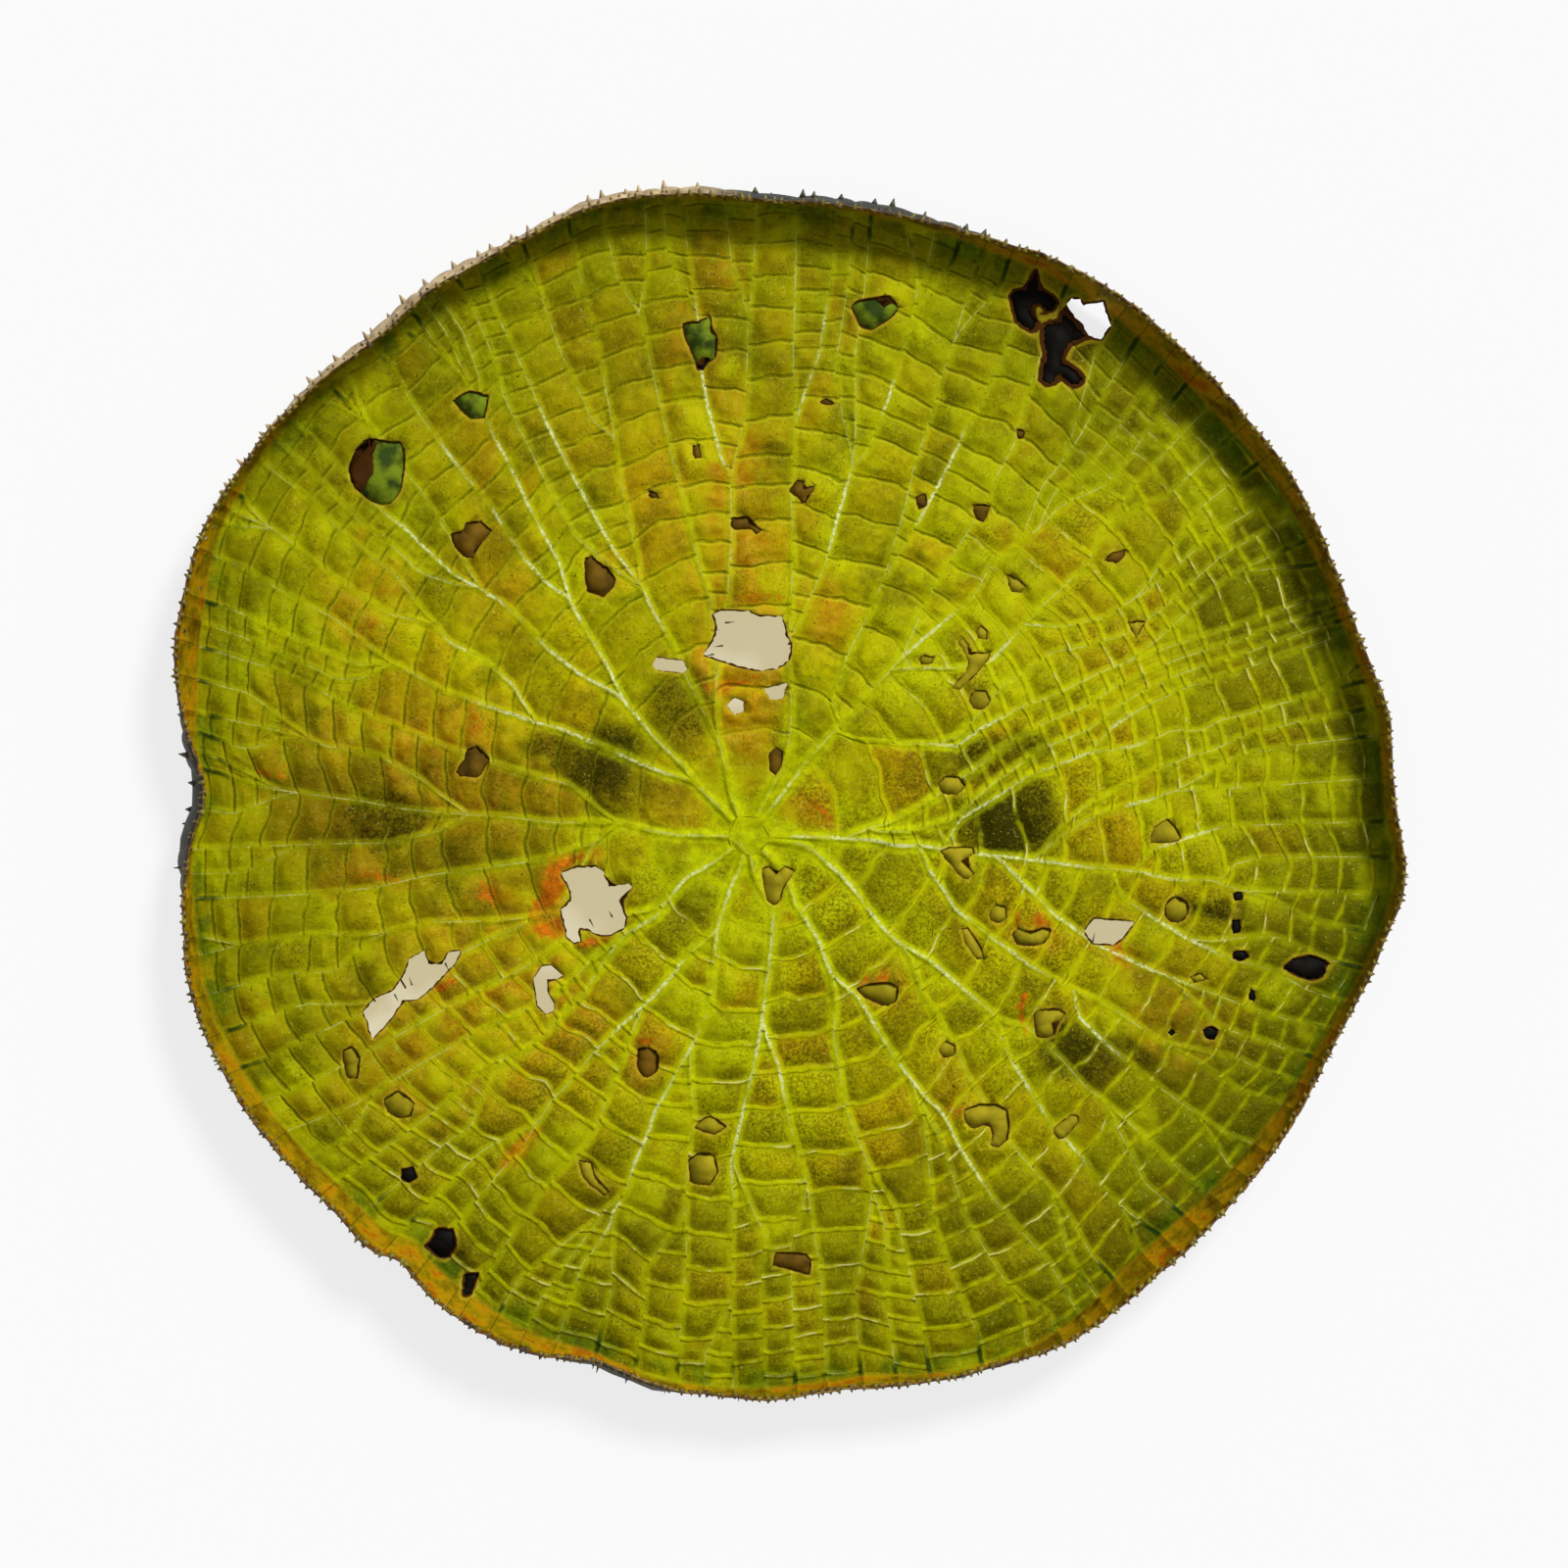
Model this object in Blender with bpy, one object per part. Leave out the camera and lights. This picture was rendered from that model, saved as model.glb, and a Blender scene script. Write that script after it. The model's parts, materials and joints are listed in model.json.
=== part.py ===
"""A giant water lily leaf, cut from its stalk and lying upper face up on the ribs of its underside.

The leaf is one grown piece: a thin blade that arches over its deep ribs, an upturned rim round its
edge, and the holes that grazing and rot have left in the blade.
Units are metres, +Z is up, and the origin is under the middle of the leaf, on what it lies on.
"""

import math

import bmesh
import bpy
from mathutils import Vector

# Driving dimensions.
HUB = Vector((-0.045, -0.042))  # where the ribs meet, over the stalk
BLADE_THICKNESS = 0.0025
CROWN_HEIGHT = 0.046  # upper face over the hub
FOLD_HEIGHT = 0.012  # upper face where the blade turns up into the rim
CROWN_POWER = 1.8  # how late the arch of the blade falls away
RIM_RISE = 0.050  # rim above the fold
RIM_WAVE = 0.003  # how much the rim's top rises and falls
RIM_WAVES = 5  # how many times it does so round the leaf
RIM_RINGS = (0.5, 1.0)  # shares of the rim's rise
COLUMNS = 96  # mesh columns round the leaf
RINGS = (0.12, 0.25, 0.38, 0.50, 0.62, 0.73, 0.83, 0.92, 1.0)  # shares of the way to the fold

RIB_FLAT_TO = 0.85  # ribs reach the ground out to this share of the way to the fold
RIB_LIFT = 0.003  # gap under a rib's far end
RIB_STEP = 0.075  # spacing of the points along a rib
RIB_REACH = 0.985  # ribs end inside the rim, at this share of the way to the fold
MAIN_RIB_WIDTH = 0.014
FORK_RIB_WIDTH = 0.008
RIB_TAPER = 0.55  # share of its width that a rib loses on the way out
BOSS_RADIUS = 0.024  # trimmed stalk end, flush with the ribs
BOSS_SIDES = 16
START_RADIUS = 0.01  # of the disc that the blade is grown from
CUTTER_MARGIN = 0.01  # how far a hole's cutter stands out above the blade and below the ground

# The rim's top edge, counter-clockwise from the right.
RIM_EDGE = (
    (0.613, 0.020), (0.606, 0.090), (0.584, 0.152), (0.546, 0.252), (0.508, 0.329),
    (0.451, 0.401), (0.377, 0.476), (0.300, 0.531), (0.266, 0.547), (0.221, 0.562),
    (0.165, 0.578), (0.050, 0.601), (-0.050, 0.609), (-0.156, 0.611), (-0.215, 0.597),
    (-0.270, 0.568), (-0.365, 0.516), (-0.424, 0.467), (-0.501, 0.404), (-0.551, 0.349),
    (-0.601, 0.266), (-0.624, 0.185), (-0.628, 0.138), (-0.615, 0.062), (-0.598, 0.002),
    (-0.614, -0.059), (-0.620, -0.136), (-0.603, -0.234), (-0.575, -0.290), (-0.530, -0.355),
    (-0.469, -0.422), (-0.424, -0.464), (-0.400, -0.474), (-0.384, -0.494), (-0.338, -0.533),
    (-0.271, -0.566), (-0.204, -0.576), (-0.117, -0.606), (-0.030, -0.615), (0.058, -0.605),
    (0.150, -0.596), (0.226, -0.576), (0.301, -0.547), (0.374, -0.487), (0.449, -0.416),
    (0.518, -0.321), (0.564, -0.232), (0.607, -0.144), (0.625, -0.086), (0.615, -0.010),
)

# How far the rim leans out from fold to top, and how far it bellies out between them,
# as (direction in degrees, lean, belly).
RIM_SHAPE = (
    (0, 0.010, 0.001), (25, 0.014, 0.001), (45, 0.022, 0.001), (62, 0.016, 0.002),
    (75, 0.004, 0.010), (93, 0.004, 0.010), (106, 0.002, 0.008), (120, -0.002, 0.008),
    (134, 0.006, 0.006), (150, 0.016, 0.001), (163, 0.024, 0.001), (172, 0.004, 0.010),
    (179, 0.002, 0.014), (188, 0.012, 0.001), (205, 0.018, 0.001), (224, 0.024, 0.001),
    (245, 0.022, 0.001), (256, 0.006, 0.006), (268, 0.010, 0.001), (282, 0.012, 0.001),
    (296, 0.006, 0.002), (308, 0.024, 0.001), (328, 0.022, 0.001), (345, 0.010, 0.001),
)

# Ribs that start at the hub, as the points they pass on their way out.
MAIN_RIBS = (
    (
        (0.060, -0.044), (0.150, -0.054), (0.250, -0.066), (0.351, -0.077), (0.460, -0.098),
        (0.598, -0.100),
    ),
    ((0.012, 0.025), (0.112, 0.140), (0.185, 0.201), (0.255, 0.312), (0.300, 0.390), (0.345, 0.480)),
    ((-0.020, 0.030), (-0.005, 0.140), (-0.002, 0.300), (0.002, 0.450), (0.005, 0.590)),
    (
        (-0.066, 0.022), (-0.117, 0.145), (-0.167, 0.229), (-0.226, 0.332), (-0.273, 0.433),
        (-0.310, 0.520),
    ),
    ((-0.094, 0.008), (-0.170, 0.095), (-0.226, 0.198), (-0.287, 0.335), (-0.343, 0.477)),
    (
        (-0.128, 0.000), (-0.201, 0.053), (-0.298, 0.087), (-0.404, 0.134), (-0.525, 0.168),
        (-0.605, 0.200),
    ),
    ((-0.172, -0.035), (-0.298, -0.021), (-0.396, -0.014), (-0.522, 0.005), (-0.590, 0.012)),
    (
        (-0.106, -0.083), (-0.170, -0.142), (-0.243, -0.234), (-0.337, -0.301), (-0.430, -0.375),
        (-0.470, -0.405),
    ),
    (
        (-0.061, -0.091), (-0.080, -0.192), (-0.117, -0.282), (-0.148, -0.349), (-0.184, -0.427),
        (-0.225, -0.530),
    ),
    ((-0.020, -0.113), (-0.026, -0.195), (-0.047, -0.310), (-0.060, -0.405), (-0.061, -0.590)),
    ((-0.005, -0.085), (0.040, -0.181), (0.118, -0.285), (0.179, -0.371), (0.241, -0.453), (0.285, -0.530)),
    ((0.012, -0.070), (0.079, -0.117), (0.179, -0.201), (0.249, -0.310), (0.314, -0.397), (0.370, -0.460)),
)

# Ribs that fork off another one, which their first point lies on.
FORK_RIBS = (
    ((0.320, -0.074), (0.371, -0.126), (0.450, -0.168), (0.540, -0.205), (0.575, -0.215)),
    ((0.245, -0.066), (0.298, -0.025), (0.372, -0.003), (0.480, 0.009), (0.600, 0.020)),
    ((0.150, -0.054), (0.178, -0.016), (0.302, 0.043), (0.392, 0.067), (0.504, 0.095), (0.580, 0.115)),
    ((0.040, 0.055), (0.168, 0.050), (0.230, 0.087), (0.316, 0.126), (0.448, 0.168), (0.545, 0.205)),
    ((0.112, 0.140), (0.204, 0.137), (0.286, 0.221), (0.360, 0.290), (0.445, 0.365)),
    ((0.230, 0.087), (0.319, 0.182), (0.426, 0.263), (0.495, 0.310)),
    ((0.020, 0.035), (0.058, 0.145), (0.113, 0.283), (0.154, 0.427), (0.190, 0.560)),
    ((0.093, 0.218), (0.160, 0.335), (0.207, 0.430), (0.250, 0.530)),
    ((-0.004, 0.165), (0.048, 0.287), (0.099, 0.405), (0.140, 0.570)),
    ((-0.066, 0.022), (-0.083, 0.201), (-0.108, 0.287), (-0.147, 0.455), (-0.180, 0.590)),
    ((-0.077, 0.120), (-0.061, 0.259), (-0.086, 0.399), (-0.104, 0.600)),
    ((-0.150, 0.210), (-0.181, 0.360), (-0.237, 0.455), (-0.255, 0.555)),
    ((-0.170, 0.095), (-0.251, 0.151), (-0.340, 0.221), (-0.418, 0.290), (-0.500, 0.374)),
    ((-0.226, 0.198), (-0.306, 0.293), (-0.382, 0.391), (-0.425, 0.450)),
    ((-0.259, 0.075), (-0.351, 0.157), (-0.435, 0.248), (-0.550, 0.335)),
    ((-0.371, 0.178), (-0.469, 0.224), (-0.585, 0.270)),
    ((-0.172, -0.035), (-0.226, 0.011), (-0.354, 0.050), (-0.480, 0.106), (-0.600, 0.145)),
    ((-0.326, -0.020), (-0.424, 0.042), (-0.528, 0.067), (-0.605, 0.080)),
    ((-0.172, -0.035), (-0.250, -0.065), (-0.368, -0.081), (-0.494, -0.101), (-0.608, -0.110)),
    ((-0.200, -0.048), (-0.284, -0.118), (-0.430, -0.143), (-0.600, -0.165)),
    ((-0.150, -0.120), (-0.284, -0.170), (-0.439, -0.222), (-0.550, -0.275)),
    ((-0.201, -0.181), (-0.318, -0.250), (-0.420, -0.310), (-0.510, -0.345)),
    ((-0.075, -0.133), (-0.139, -0.203), (-0.229, -0.296), (-0.298, -0.385), (-0.355, -0.490)),
    ((-0.156, -0.226), (-0.195, -0.327), (-0.243, -0.391), (-0.290, -0.520)),
    ((-0.103, -0.259), (-0.108, -0.391), (-0.107, -0.475), (-0.130, -0.580)),
    ((-0.028, -0.215), (-0.002, -0.335), (0.023, -0.447), (0.030, -0.590)),
    ((0.040, -0.181), (0.054, -0.315), (0.101, -0.419), (0.130, -0.570)),
    ((0.093, -0.248), (0.132, -0.380), (0.180, -0.470), (0.210, -0.560)),
    ((0.207, -0.223), (0.269, -0.262), (0.330, -0.321), (0.415, -0.400), (0.430, -0.415)),
    ((0.140, -0.062), (0.168, -0.117), (0.246, -0.175), (0.328, -0.217), (0.420, -0.276), (0.510, -0.315)),
    ((0.246, -0.175), (0.322, -0.254), (0.403, -0.318), (0.465, -0.365)),
    ((0.205, -0.062), (0.269, -0.122), (0.350, -0.170), (0.482, -0.223), (0.550, -0.245)),
)

# The places where the blade is open right through.
HOLES = (
    ((-0.080, 0.186), (-0.010, 0.183), (-0.003, 0.138), (-0.030, 0.128), (-0.090, 0.145)),
    (
        (-0.235, -0.080), (-0.201, -0.073), (-0.187, -0.094), (-0.163, -0.093), (-0.171, -0.136),
        (-0.209, -0.136), (-0.229, -0.145), (-0.225, -0.098),
    ),
    (
        (-0.439, -0.222), (-0.409, -0.201), (-0.376, -0.159), (-0.339, -0.159), (-0.399, -0.210),
        (-0.430, -0.250),
    ),
    (
        (-0.255, -0.175), (-0.240, -0.188), (-0.250, -0.201), (-0.243, -0.220), (-0.260, -0.215),
        (-0.264, -0.187),
    ),
    ((-0.142, 0.134), (-0.138, 0.141), (-0.111, 0.138), (-0.107, 0.130), (-0.111, 0.125), (-0.139, 0.129)),
    ((-0.027, 0.109), (-0.004, 0.115), (-0.009, 0.099), (-0.022, 0.098)),
    ((-0.066, 0.092), (-0.058, 0.100), (-0.049, 0.096), (-0.049, 0.086), (-0.058, 0.083)),
    ((0.283, 0.505), (0.321, 0.507), (0.328, 0.483), (0.305, 0.472), (0.291, 0.491)),
    ((0.300, -0.139), (0.310, -0.126), (0.352, -0.130), (0.330, -0.153), (0.309, -0.151)),
)

LEAF_GREEN = (0.300, 0.290, 0.012, 1.0)
LEAF_ROUGHNESS = 0.55


def direction(point):
    """The angle of a point seen from the hub, from 0 to one full turn."""
    return math.atan2(point.y - HUB.y, point.x - HUB.x) % math.tau


def between(table, angle, value):
    """A smooth value at an angle, from a table of rows (angle, value, ...) that go all the way round."""
    rows = sorted((row[0], row[value]) for row in table)
    count = len(rows)
    after = next((i for i, row in enumerate(rows) if row[0] > angle), count)
    near = [rows[(after + step) % count] for step in (-2, -1, 0, 1)]
    turns = [(after + step) // count for step in (-2, -1, 0, 1)]
    at = [row[0] + turn * math.tau for row, turn in zip(near, turns)]
    level = [row[1] for row in near]
    span = at[2] - at[1]
    share = (angle - at[1]) / span
    into = (level[2] - level[0]) / (at[2] - at[0]) * span
    out = (level[3] - level[1]) / (at[3] - at[1]) * span
    return (
        level[1] * (1 - share) ** 2 * (1 + 2 * share)
        + level[2] * share**2 * (3 - 2 * share)
        + into * share * (1 - share) ** 2
        - out * share**2 * (1 - share)
    )


EDGE_TABLE = [(direction(Vector(p)), (Vector(p) - HUB).length) for p in RIM_EDGE]
SHAPE_TABLE = [(math.radians(degrees), lean, belly) for degrees, lean, belly in RIM_SHAPE]


def rim_distance(angle):
    return between(EDGE_TABLE, angle, 1)


def fold_distance(angle):
    return rim_distance(angle) - between(SHAPE_TABLE, angle, 1)


def out_from_hub(angle, distance):
    return HUB + distance * Vector((math.cos(angle), math.sin(angle)))


def share_out(point):
    """How far out a point is, from 0 at the hub to 1 at the fold."""
    return (point - HUB).length / fold_distance(direction(point))


def upper_face(share):
    """Height of the blade's upper face at a share of the way to the fold."""
    return CROWN_HEIGHT - (CROWN_HEIGHT - FOLD_HEIGHT) * share**CROWN_POWER


def grow_ring(mesh, place):
    """Extrude the sheet's open edge, and put each new corner where place(angle) says."""
    edge = [e for e in mesh.edges if e.is_boundary]
    made = bmesh.ops.extrude_edge_only(mesh, edges=edge)["geom"]
    for corner in (v for v in made if isinstance(v, bmesh.types.BMVert)):
        corner.co = place(direction(corner.co.xy))


def blade_place(share):
    def place(angle):
        spot = out_from_hub(angle, share * fold_distance(angle))
        return (spot.x, spot.y, upper_face(share))

    return place


def rim_place(rise):
    """A corner of the rim at a share of its rise."""

    def place(angle):
        lean = between(SHAPE_TABLE, angle, 1)
        belly = between(SHAPE_TABLE, angle, 2)
        spot = out_from_hub(angle, fold_distance(angle) + rise * lean + belly * math.sin(rise * math.pi))
        wave = RIM_WAVE * math.sin(RIM_WAVES * angle) * rise
        return (spot.x, spot.y, FOLD_HEIGHT + rise * RIM_RISE + wave)

    return place


def new_object(name, mesh):
    bmesh.ops.recalc_face_normals(mesh, faces=mesh.faces)
    data = bpy.data.meshes.new(name)
    mesh.to_mesh(data)
    mesh.free()
    return bpy.data.objects.new(name, data)


def make_sheet():
    """Blade and rim as one open sheet along the leaf's upper face."""
    mesh = bmesh.new()
    bmesh.ops.create_circle(mesh, cap_ends=True, cap_tris=True, segments=COLUMNS, radius=START_RADIUS)
    bmesh.ops.translate(mesh, verts=mesh.verts, vec=(HUB.x, HUB.y, CROWN_HEIGHT))
    for corner in (v for v in mesh.verts if v.is_boundary):
        corner.co = blade_place(RINGS[0])(direction(corner.co.xy))
    for share in RINGS[1:]:
        grow_ring(mesh, blade_place(share))
    for rise in RIM_RINGS:
        grow_ring(mesh, rim_place(rise))
    leaf = new_object("lily_pad", mesh)
    if leaf.data.polygons[0].normal.z < 0:
        leaf.data.flip_normals()
    bpy.context.scene.collection.objects.link(leaf)
    return leaf


def spread_points(points):
    """Points a rib step apart along straight runs between the given ones."""
    spread = [Vector(points[0])]
    for start, end in zip(points, points[1:]):
        start, end = Vector(start), Vector(end)
        steps = max(1, round((end - start).length / RIB_STEP))
        spread += [start.lerp(end, i / steps) for i in range(1, steps + 1)]
    inside = [point for point in spread if share_out(point) < RIB_REACH]
    if len(inside) < len(spread):
        angle = direction(spread[len(inside)])
        inside.append(out_from_hub(angle, RIB_REACH * fold_distance(angle)))
    return inside


def rib_bottom(share):
    past = max(0.0, share - RIB_FLAT_TO) / (1 - RIB_FLAT_TO)
    return RIB_LIFT * past


def make_rib(name, points, width):
    """A wall along the points, from the ground into the middle of the blade."""
    spread = spread_points(points)
    mesh = bmesh.new()
    sides = []
    for i, point in enumerate(spread):
        along = (spread[min(i + 1, len(spread) - 1)] - spread[max(i - 1, 0)]).normalized()
        half = 0.5 * width * (1 - RIB_TAPER * share_out(point))
        across = Vector((-along.y, along.x)) * half
        bottom = rib_bottom(share_out(point))
        sides.append([mesh.verts.new((*(point + side * across), bottom)) for side in (-1, 1)])
    for near, far in zip(sides, sides[1:]):
        mesh.faces.new((near[0], near[1], far[1], far[0]))
    made = bmesh.ops.extrude_face_region(mesh, geom=mesh.faces[:])["geom"]
    for corner in (v for v in made if isinstance(v, bmesh.types.BMVert)):
        share = min(share_out(corner.co.xy), 1.0)
        corner.co.z = upper_face(share) - 0.5 * BLADE_THICKNESS
    return new_object(name, mesh)


def make_boss():
    """The end of the stalk, trimmed level with the ribs."""
    mesh = bmesh.new()
    height = CROWN_HEIGHT - 0.5 * BLADE_THICKNESS
    bmesh.ops.create_cone(
        mesh, cap_ends=True, segments=BOSS_SIDES, radius1=BOSS_RADIUS, radius2=BOSS_RADIUS, depth=height
    )
    bmesh.ops.translate(mesh, verts=mesh.verts, vec=(HUB.x, HUB.y, 0.5 * height))
    return new_object("boss", mesh)


def make_hole(name, outline):
    """A prism that cuts its outline through the blade."""
    mesh = bmesh.new()
    face = mesh.faces.new([mesh.verts.new((x, y, -CUTTER_MARGIN)) for x, y in outline])
    made = bmesh.ops.extrude_face_region(mesh, geom=[face])["geom"]
    raised = [v for v in made if isinstance(v, bmesh.types.BMVert)]
    bmesh.ops.translate(mesh, verts=raised, vec=(0, 0, CROWN_HEIGHT + 2 * CUTTER_MARGIN))
    return new_object(name, mesh)


def gather(name, helpers):
    """A hidden collection of shapes that a Boolean joins to the leaf or cuts from it."""
    collection = bpy.data.collections.new(name)
    bpy.context.scene.collection.children.link(collection)
    for helper in helpers:
        helper.hide_render = True
        helper.display_type = "WIRE"
        collection.objects.link(helper)
    return collection


def add_boolean(leaf, operation, collection):
    boolean = leaf.modifiers.new(collection.name, "BOOLEAN")
    boolean.operation = operation
    boolean.operand_type = "COLLECTION"
    boolean.collection = collection
    boolean.solver = "EXACT"


def leaf_material():
    material = bpy.data.materials.new("leaf")
    material.use_nodes = True
    shader = material.node_tree.nodes["Principled BSDF"]
    shader.inputs["Base Color"].default_value = LEAF_GREEN
    shader.inputs["Roughness"].default_value = LEAF_ROUGHNESS
    shader.inputs["Metallic"].default_value = 0.0
    return material


def centre_on_origin(leaf):
    """Move the leaf and its helpers together, so that the origin is under the middle of its box."""
    bpy.context.view_layer.update()
    corners = [Vector(c) for c in leaf.evaluated_get(bpy.context.evaluated_depsgraph_get()).bound_box]
    low = Vector(min(c[axis] for c in corners) for axis in range(3))
    high = Vector(max(c[axis] for c in corners) for axis in range(3))
    middle = bpy.data.objects.new("leaf_middle", None)
    bpy.context.scene.collection.objects.link(middle)
    middle.location = (-0.5 * (low.x + high.x), -0.5 * (low.y + high.y), -low.z)
    for part in bpy.data.objects:
        if part is not middle:
            part.parent = middle


def main():
    for old in list(bpy.data.objects):
        bpy.data.objects.remove(old)
    leaf = make_sheet()
    leaf.data.materials.append(leaf_material())
    wall = leaf.modifiers.new("thickness", "SOLIDIFY")
    wall.thickness = BLADE_THICKNESS
    wall.offset = -1.0
    wall.use_even_offset = True
    add_boolean(
        leaf,
        "DIFFERENCE",
        gather("holes", [make_hole(f"hole_{i}", outline) for i, outline in enumerate(HOLES, 1)]),
    )
    ribs = [make_boss()]
    for i, points in enumerate(MAIN_RIBS, 1):
        ribs.append(make_rib(f"main_rib_{i}", (HUB, *points), MAIN_RIB_WIDTH))
    for i, points in enumerate(FORK_RIBS, 1):
        ribs.append(make_rib(f"fork_rib_{i}", points, FORK_RIB_WIDTH))
    add_boolean(leaf, "UNION", gather("ribs", ribs))
    centre_on_origin(leaf)


main()
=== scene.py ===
"""Looks of a giant water lily leaf, cut from its stalk and lying upper face up on its ribs.

The blade is grown as it grows in life: veins run from the hub to the fold and fork on the way, and
each lane between two veins is quilted into cells. Listed points are millimetres in the
drawing's frame, whose origin MIDDLE moves to the frame's own. Everything else is in metres.
"""

import json
import math
import random

import bmesh
import bpy
import numpy as np
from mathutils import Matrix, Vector, noise
from mathutils.bvhtree import BVHTree

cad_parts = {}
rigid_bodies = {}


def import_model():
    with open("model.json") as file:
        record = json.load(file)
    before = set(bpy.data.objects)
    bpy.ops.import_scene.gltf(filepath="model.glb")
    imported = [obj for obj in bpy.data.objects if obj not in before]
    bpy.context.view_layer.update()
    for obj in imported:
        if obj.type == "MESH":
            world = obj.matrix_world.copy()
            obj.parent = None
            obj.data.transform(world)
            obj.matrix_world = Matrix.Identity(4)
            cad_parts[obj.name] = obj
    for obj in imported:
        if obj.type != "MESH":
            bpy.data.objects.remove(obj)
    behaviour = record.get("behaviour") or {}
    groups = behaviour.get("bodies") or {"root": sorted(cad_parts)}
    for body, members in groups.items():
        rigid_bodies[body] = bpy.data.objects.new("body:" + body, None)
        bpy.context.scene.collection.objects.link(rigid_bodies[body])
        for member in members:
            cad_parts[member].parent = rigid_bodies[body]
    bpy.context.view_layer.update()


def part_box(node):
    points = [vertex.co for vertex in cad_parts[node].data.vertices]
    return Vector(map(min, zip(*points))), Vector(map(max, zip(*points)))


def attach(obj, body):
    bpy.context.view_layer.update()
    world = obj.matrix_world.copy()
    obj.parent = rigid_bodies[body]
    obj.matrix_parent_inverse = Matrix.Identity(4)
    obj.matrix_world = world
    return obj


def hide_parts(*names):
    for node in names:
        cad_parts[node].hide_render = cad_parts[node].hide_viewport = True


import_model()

LEAF_LOW, LEAF_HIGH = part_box("lily_pad")

# ---------------------------------------------------------------- sizes
MM = 0.001
MIDDLE = Vector((-0.0013, 0.0027))
HUB = Vector((-0.045, -0.042)) - MIDDLE
CROWN_HEIGHT = 0.046
FOLD_HEIGHT = 0.012
CROWN_POWER = 1.8
RIM_RISE = 0.050
FOLD_RADIUS = 0.007
BLADE_THICKNESS = 0.0022
FILM_DEPTH = 0.0016
SEED = 7

LEVELS = 80  # rings of the mesh from the hub to the fold
FIRST_SHARE = 0.035
RIM_RINGS = (0.07, 0.14, 0.22, 0.34, 0.46, 0.58, 0.70, 0.82, 0.92, 1.0)
VEIN_GAP = 15 * MM  # two veins side by side stay this far apart
WIDE_LANE = (96 * MM, 45 * MM)  # a lane forks once it is wider, at the hub and at the fold
FORK_RUN = 11  # rings that a new vein takes to reach the middle of its lane
FORK_DRIFT = 3.0 * MM  # the most that a new vein moves sideways from one ring to the next
SPREAD_ROUNDS = 16
CELL_LENGTHS = (22 * MM, 50 * MM, 20 * MM)  # least, most at the hub, and what the most loses by the fold

FOLD_PART = 0.22  # share of the rim's rise that is the rounded fold
OUTLINE_STEP = 3.5 * MM  # between the small jags of a torn outline
CUTTER_SPAN = (2 * MM, 75 * MM)
FILM_THICKNESS = 0.3 * MM
RIB_CLEARANCE = 5  # millimetres between a rib's end and a hole
TIE_CLEARANCE = 14
TIE_LEAST_LANE = 10 * MM
TIE_FIRST_LEVEL = 5
TOOTH_COUNT = 400
THORN_PLACES = 170
SCAR_STEPS = 32

FRAME_WIDTH = 1.6
CAMERA_LENS = 170
CAMERA_SENSOR = 36
CAMERA_SHIFT = (-6.2 * MM, 9.1 * MM)
FLOOR_HALF_WIDTH = 6

# ---------------------------------------------------------------- the leaf's drawing
# The rim's top edge, counter-clockwise from the right.
RIM_EDGE = (
    (613, 20), (606, 90), (584, 152), (546, 252), (508, 329), (451, 401), (377, 476), (300, 531),
    (266, 547), (221, 562), (165, 578), (50, 601), (-50, 609), (-156, 611), (-215, 597),
    (-270, 568), (-365, 516), (-424, 467), (-501, 404), (-551, 349), (-601, 266), (-624, 185),
    (-628, 138), (-615, 62), (-598, 2), (-614, -59), (-620, -136), (-603, -234), (-575, -290),
    (-530, -355), (-469, -422), (-424, -464), (-400, -474), (-384, -494), (-338, -533),
    (-271, -566), (-204, -576), (-117, -606), (-30, -615), (58, -605), (150, -596), (226, -576),
    (301, -547), (374, -487), (449, -416), (518, -321), (564, -232), (607, -144), (625, -86),
    (615, -10),
)

# How far the rim leans out from fold to top, and how far it bellies out between them,
# as (direction in degrees, lean, belly).
RIM_SHAPE = (
    (0, 10, 1), (25, 14, 1), (45, 22, 1), (62, 16, 2), (75, 5, 5), (93, 4, 6), (106, 3, 4),
    (120, 1, 5), (134, 6, 5), (150, 16, 1), (163, 24, 1), (172, 4, 8), (179, 2, 12),
    (188, 12, 1), (205, 18, 1), (224, 24, 1), (245, 22, 1), (256, 6, 6), (268, 10, 1),
    (282, 12, 1), (296, 6, 2), (308, 24, 1), (328, 22, 1), (345, 10, 1),
)

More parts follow.
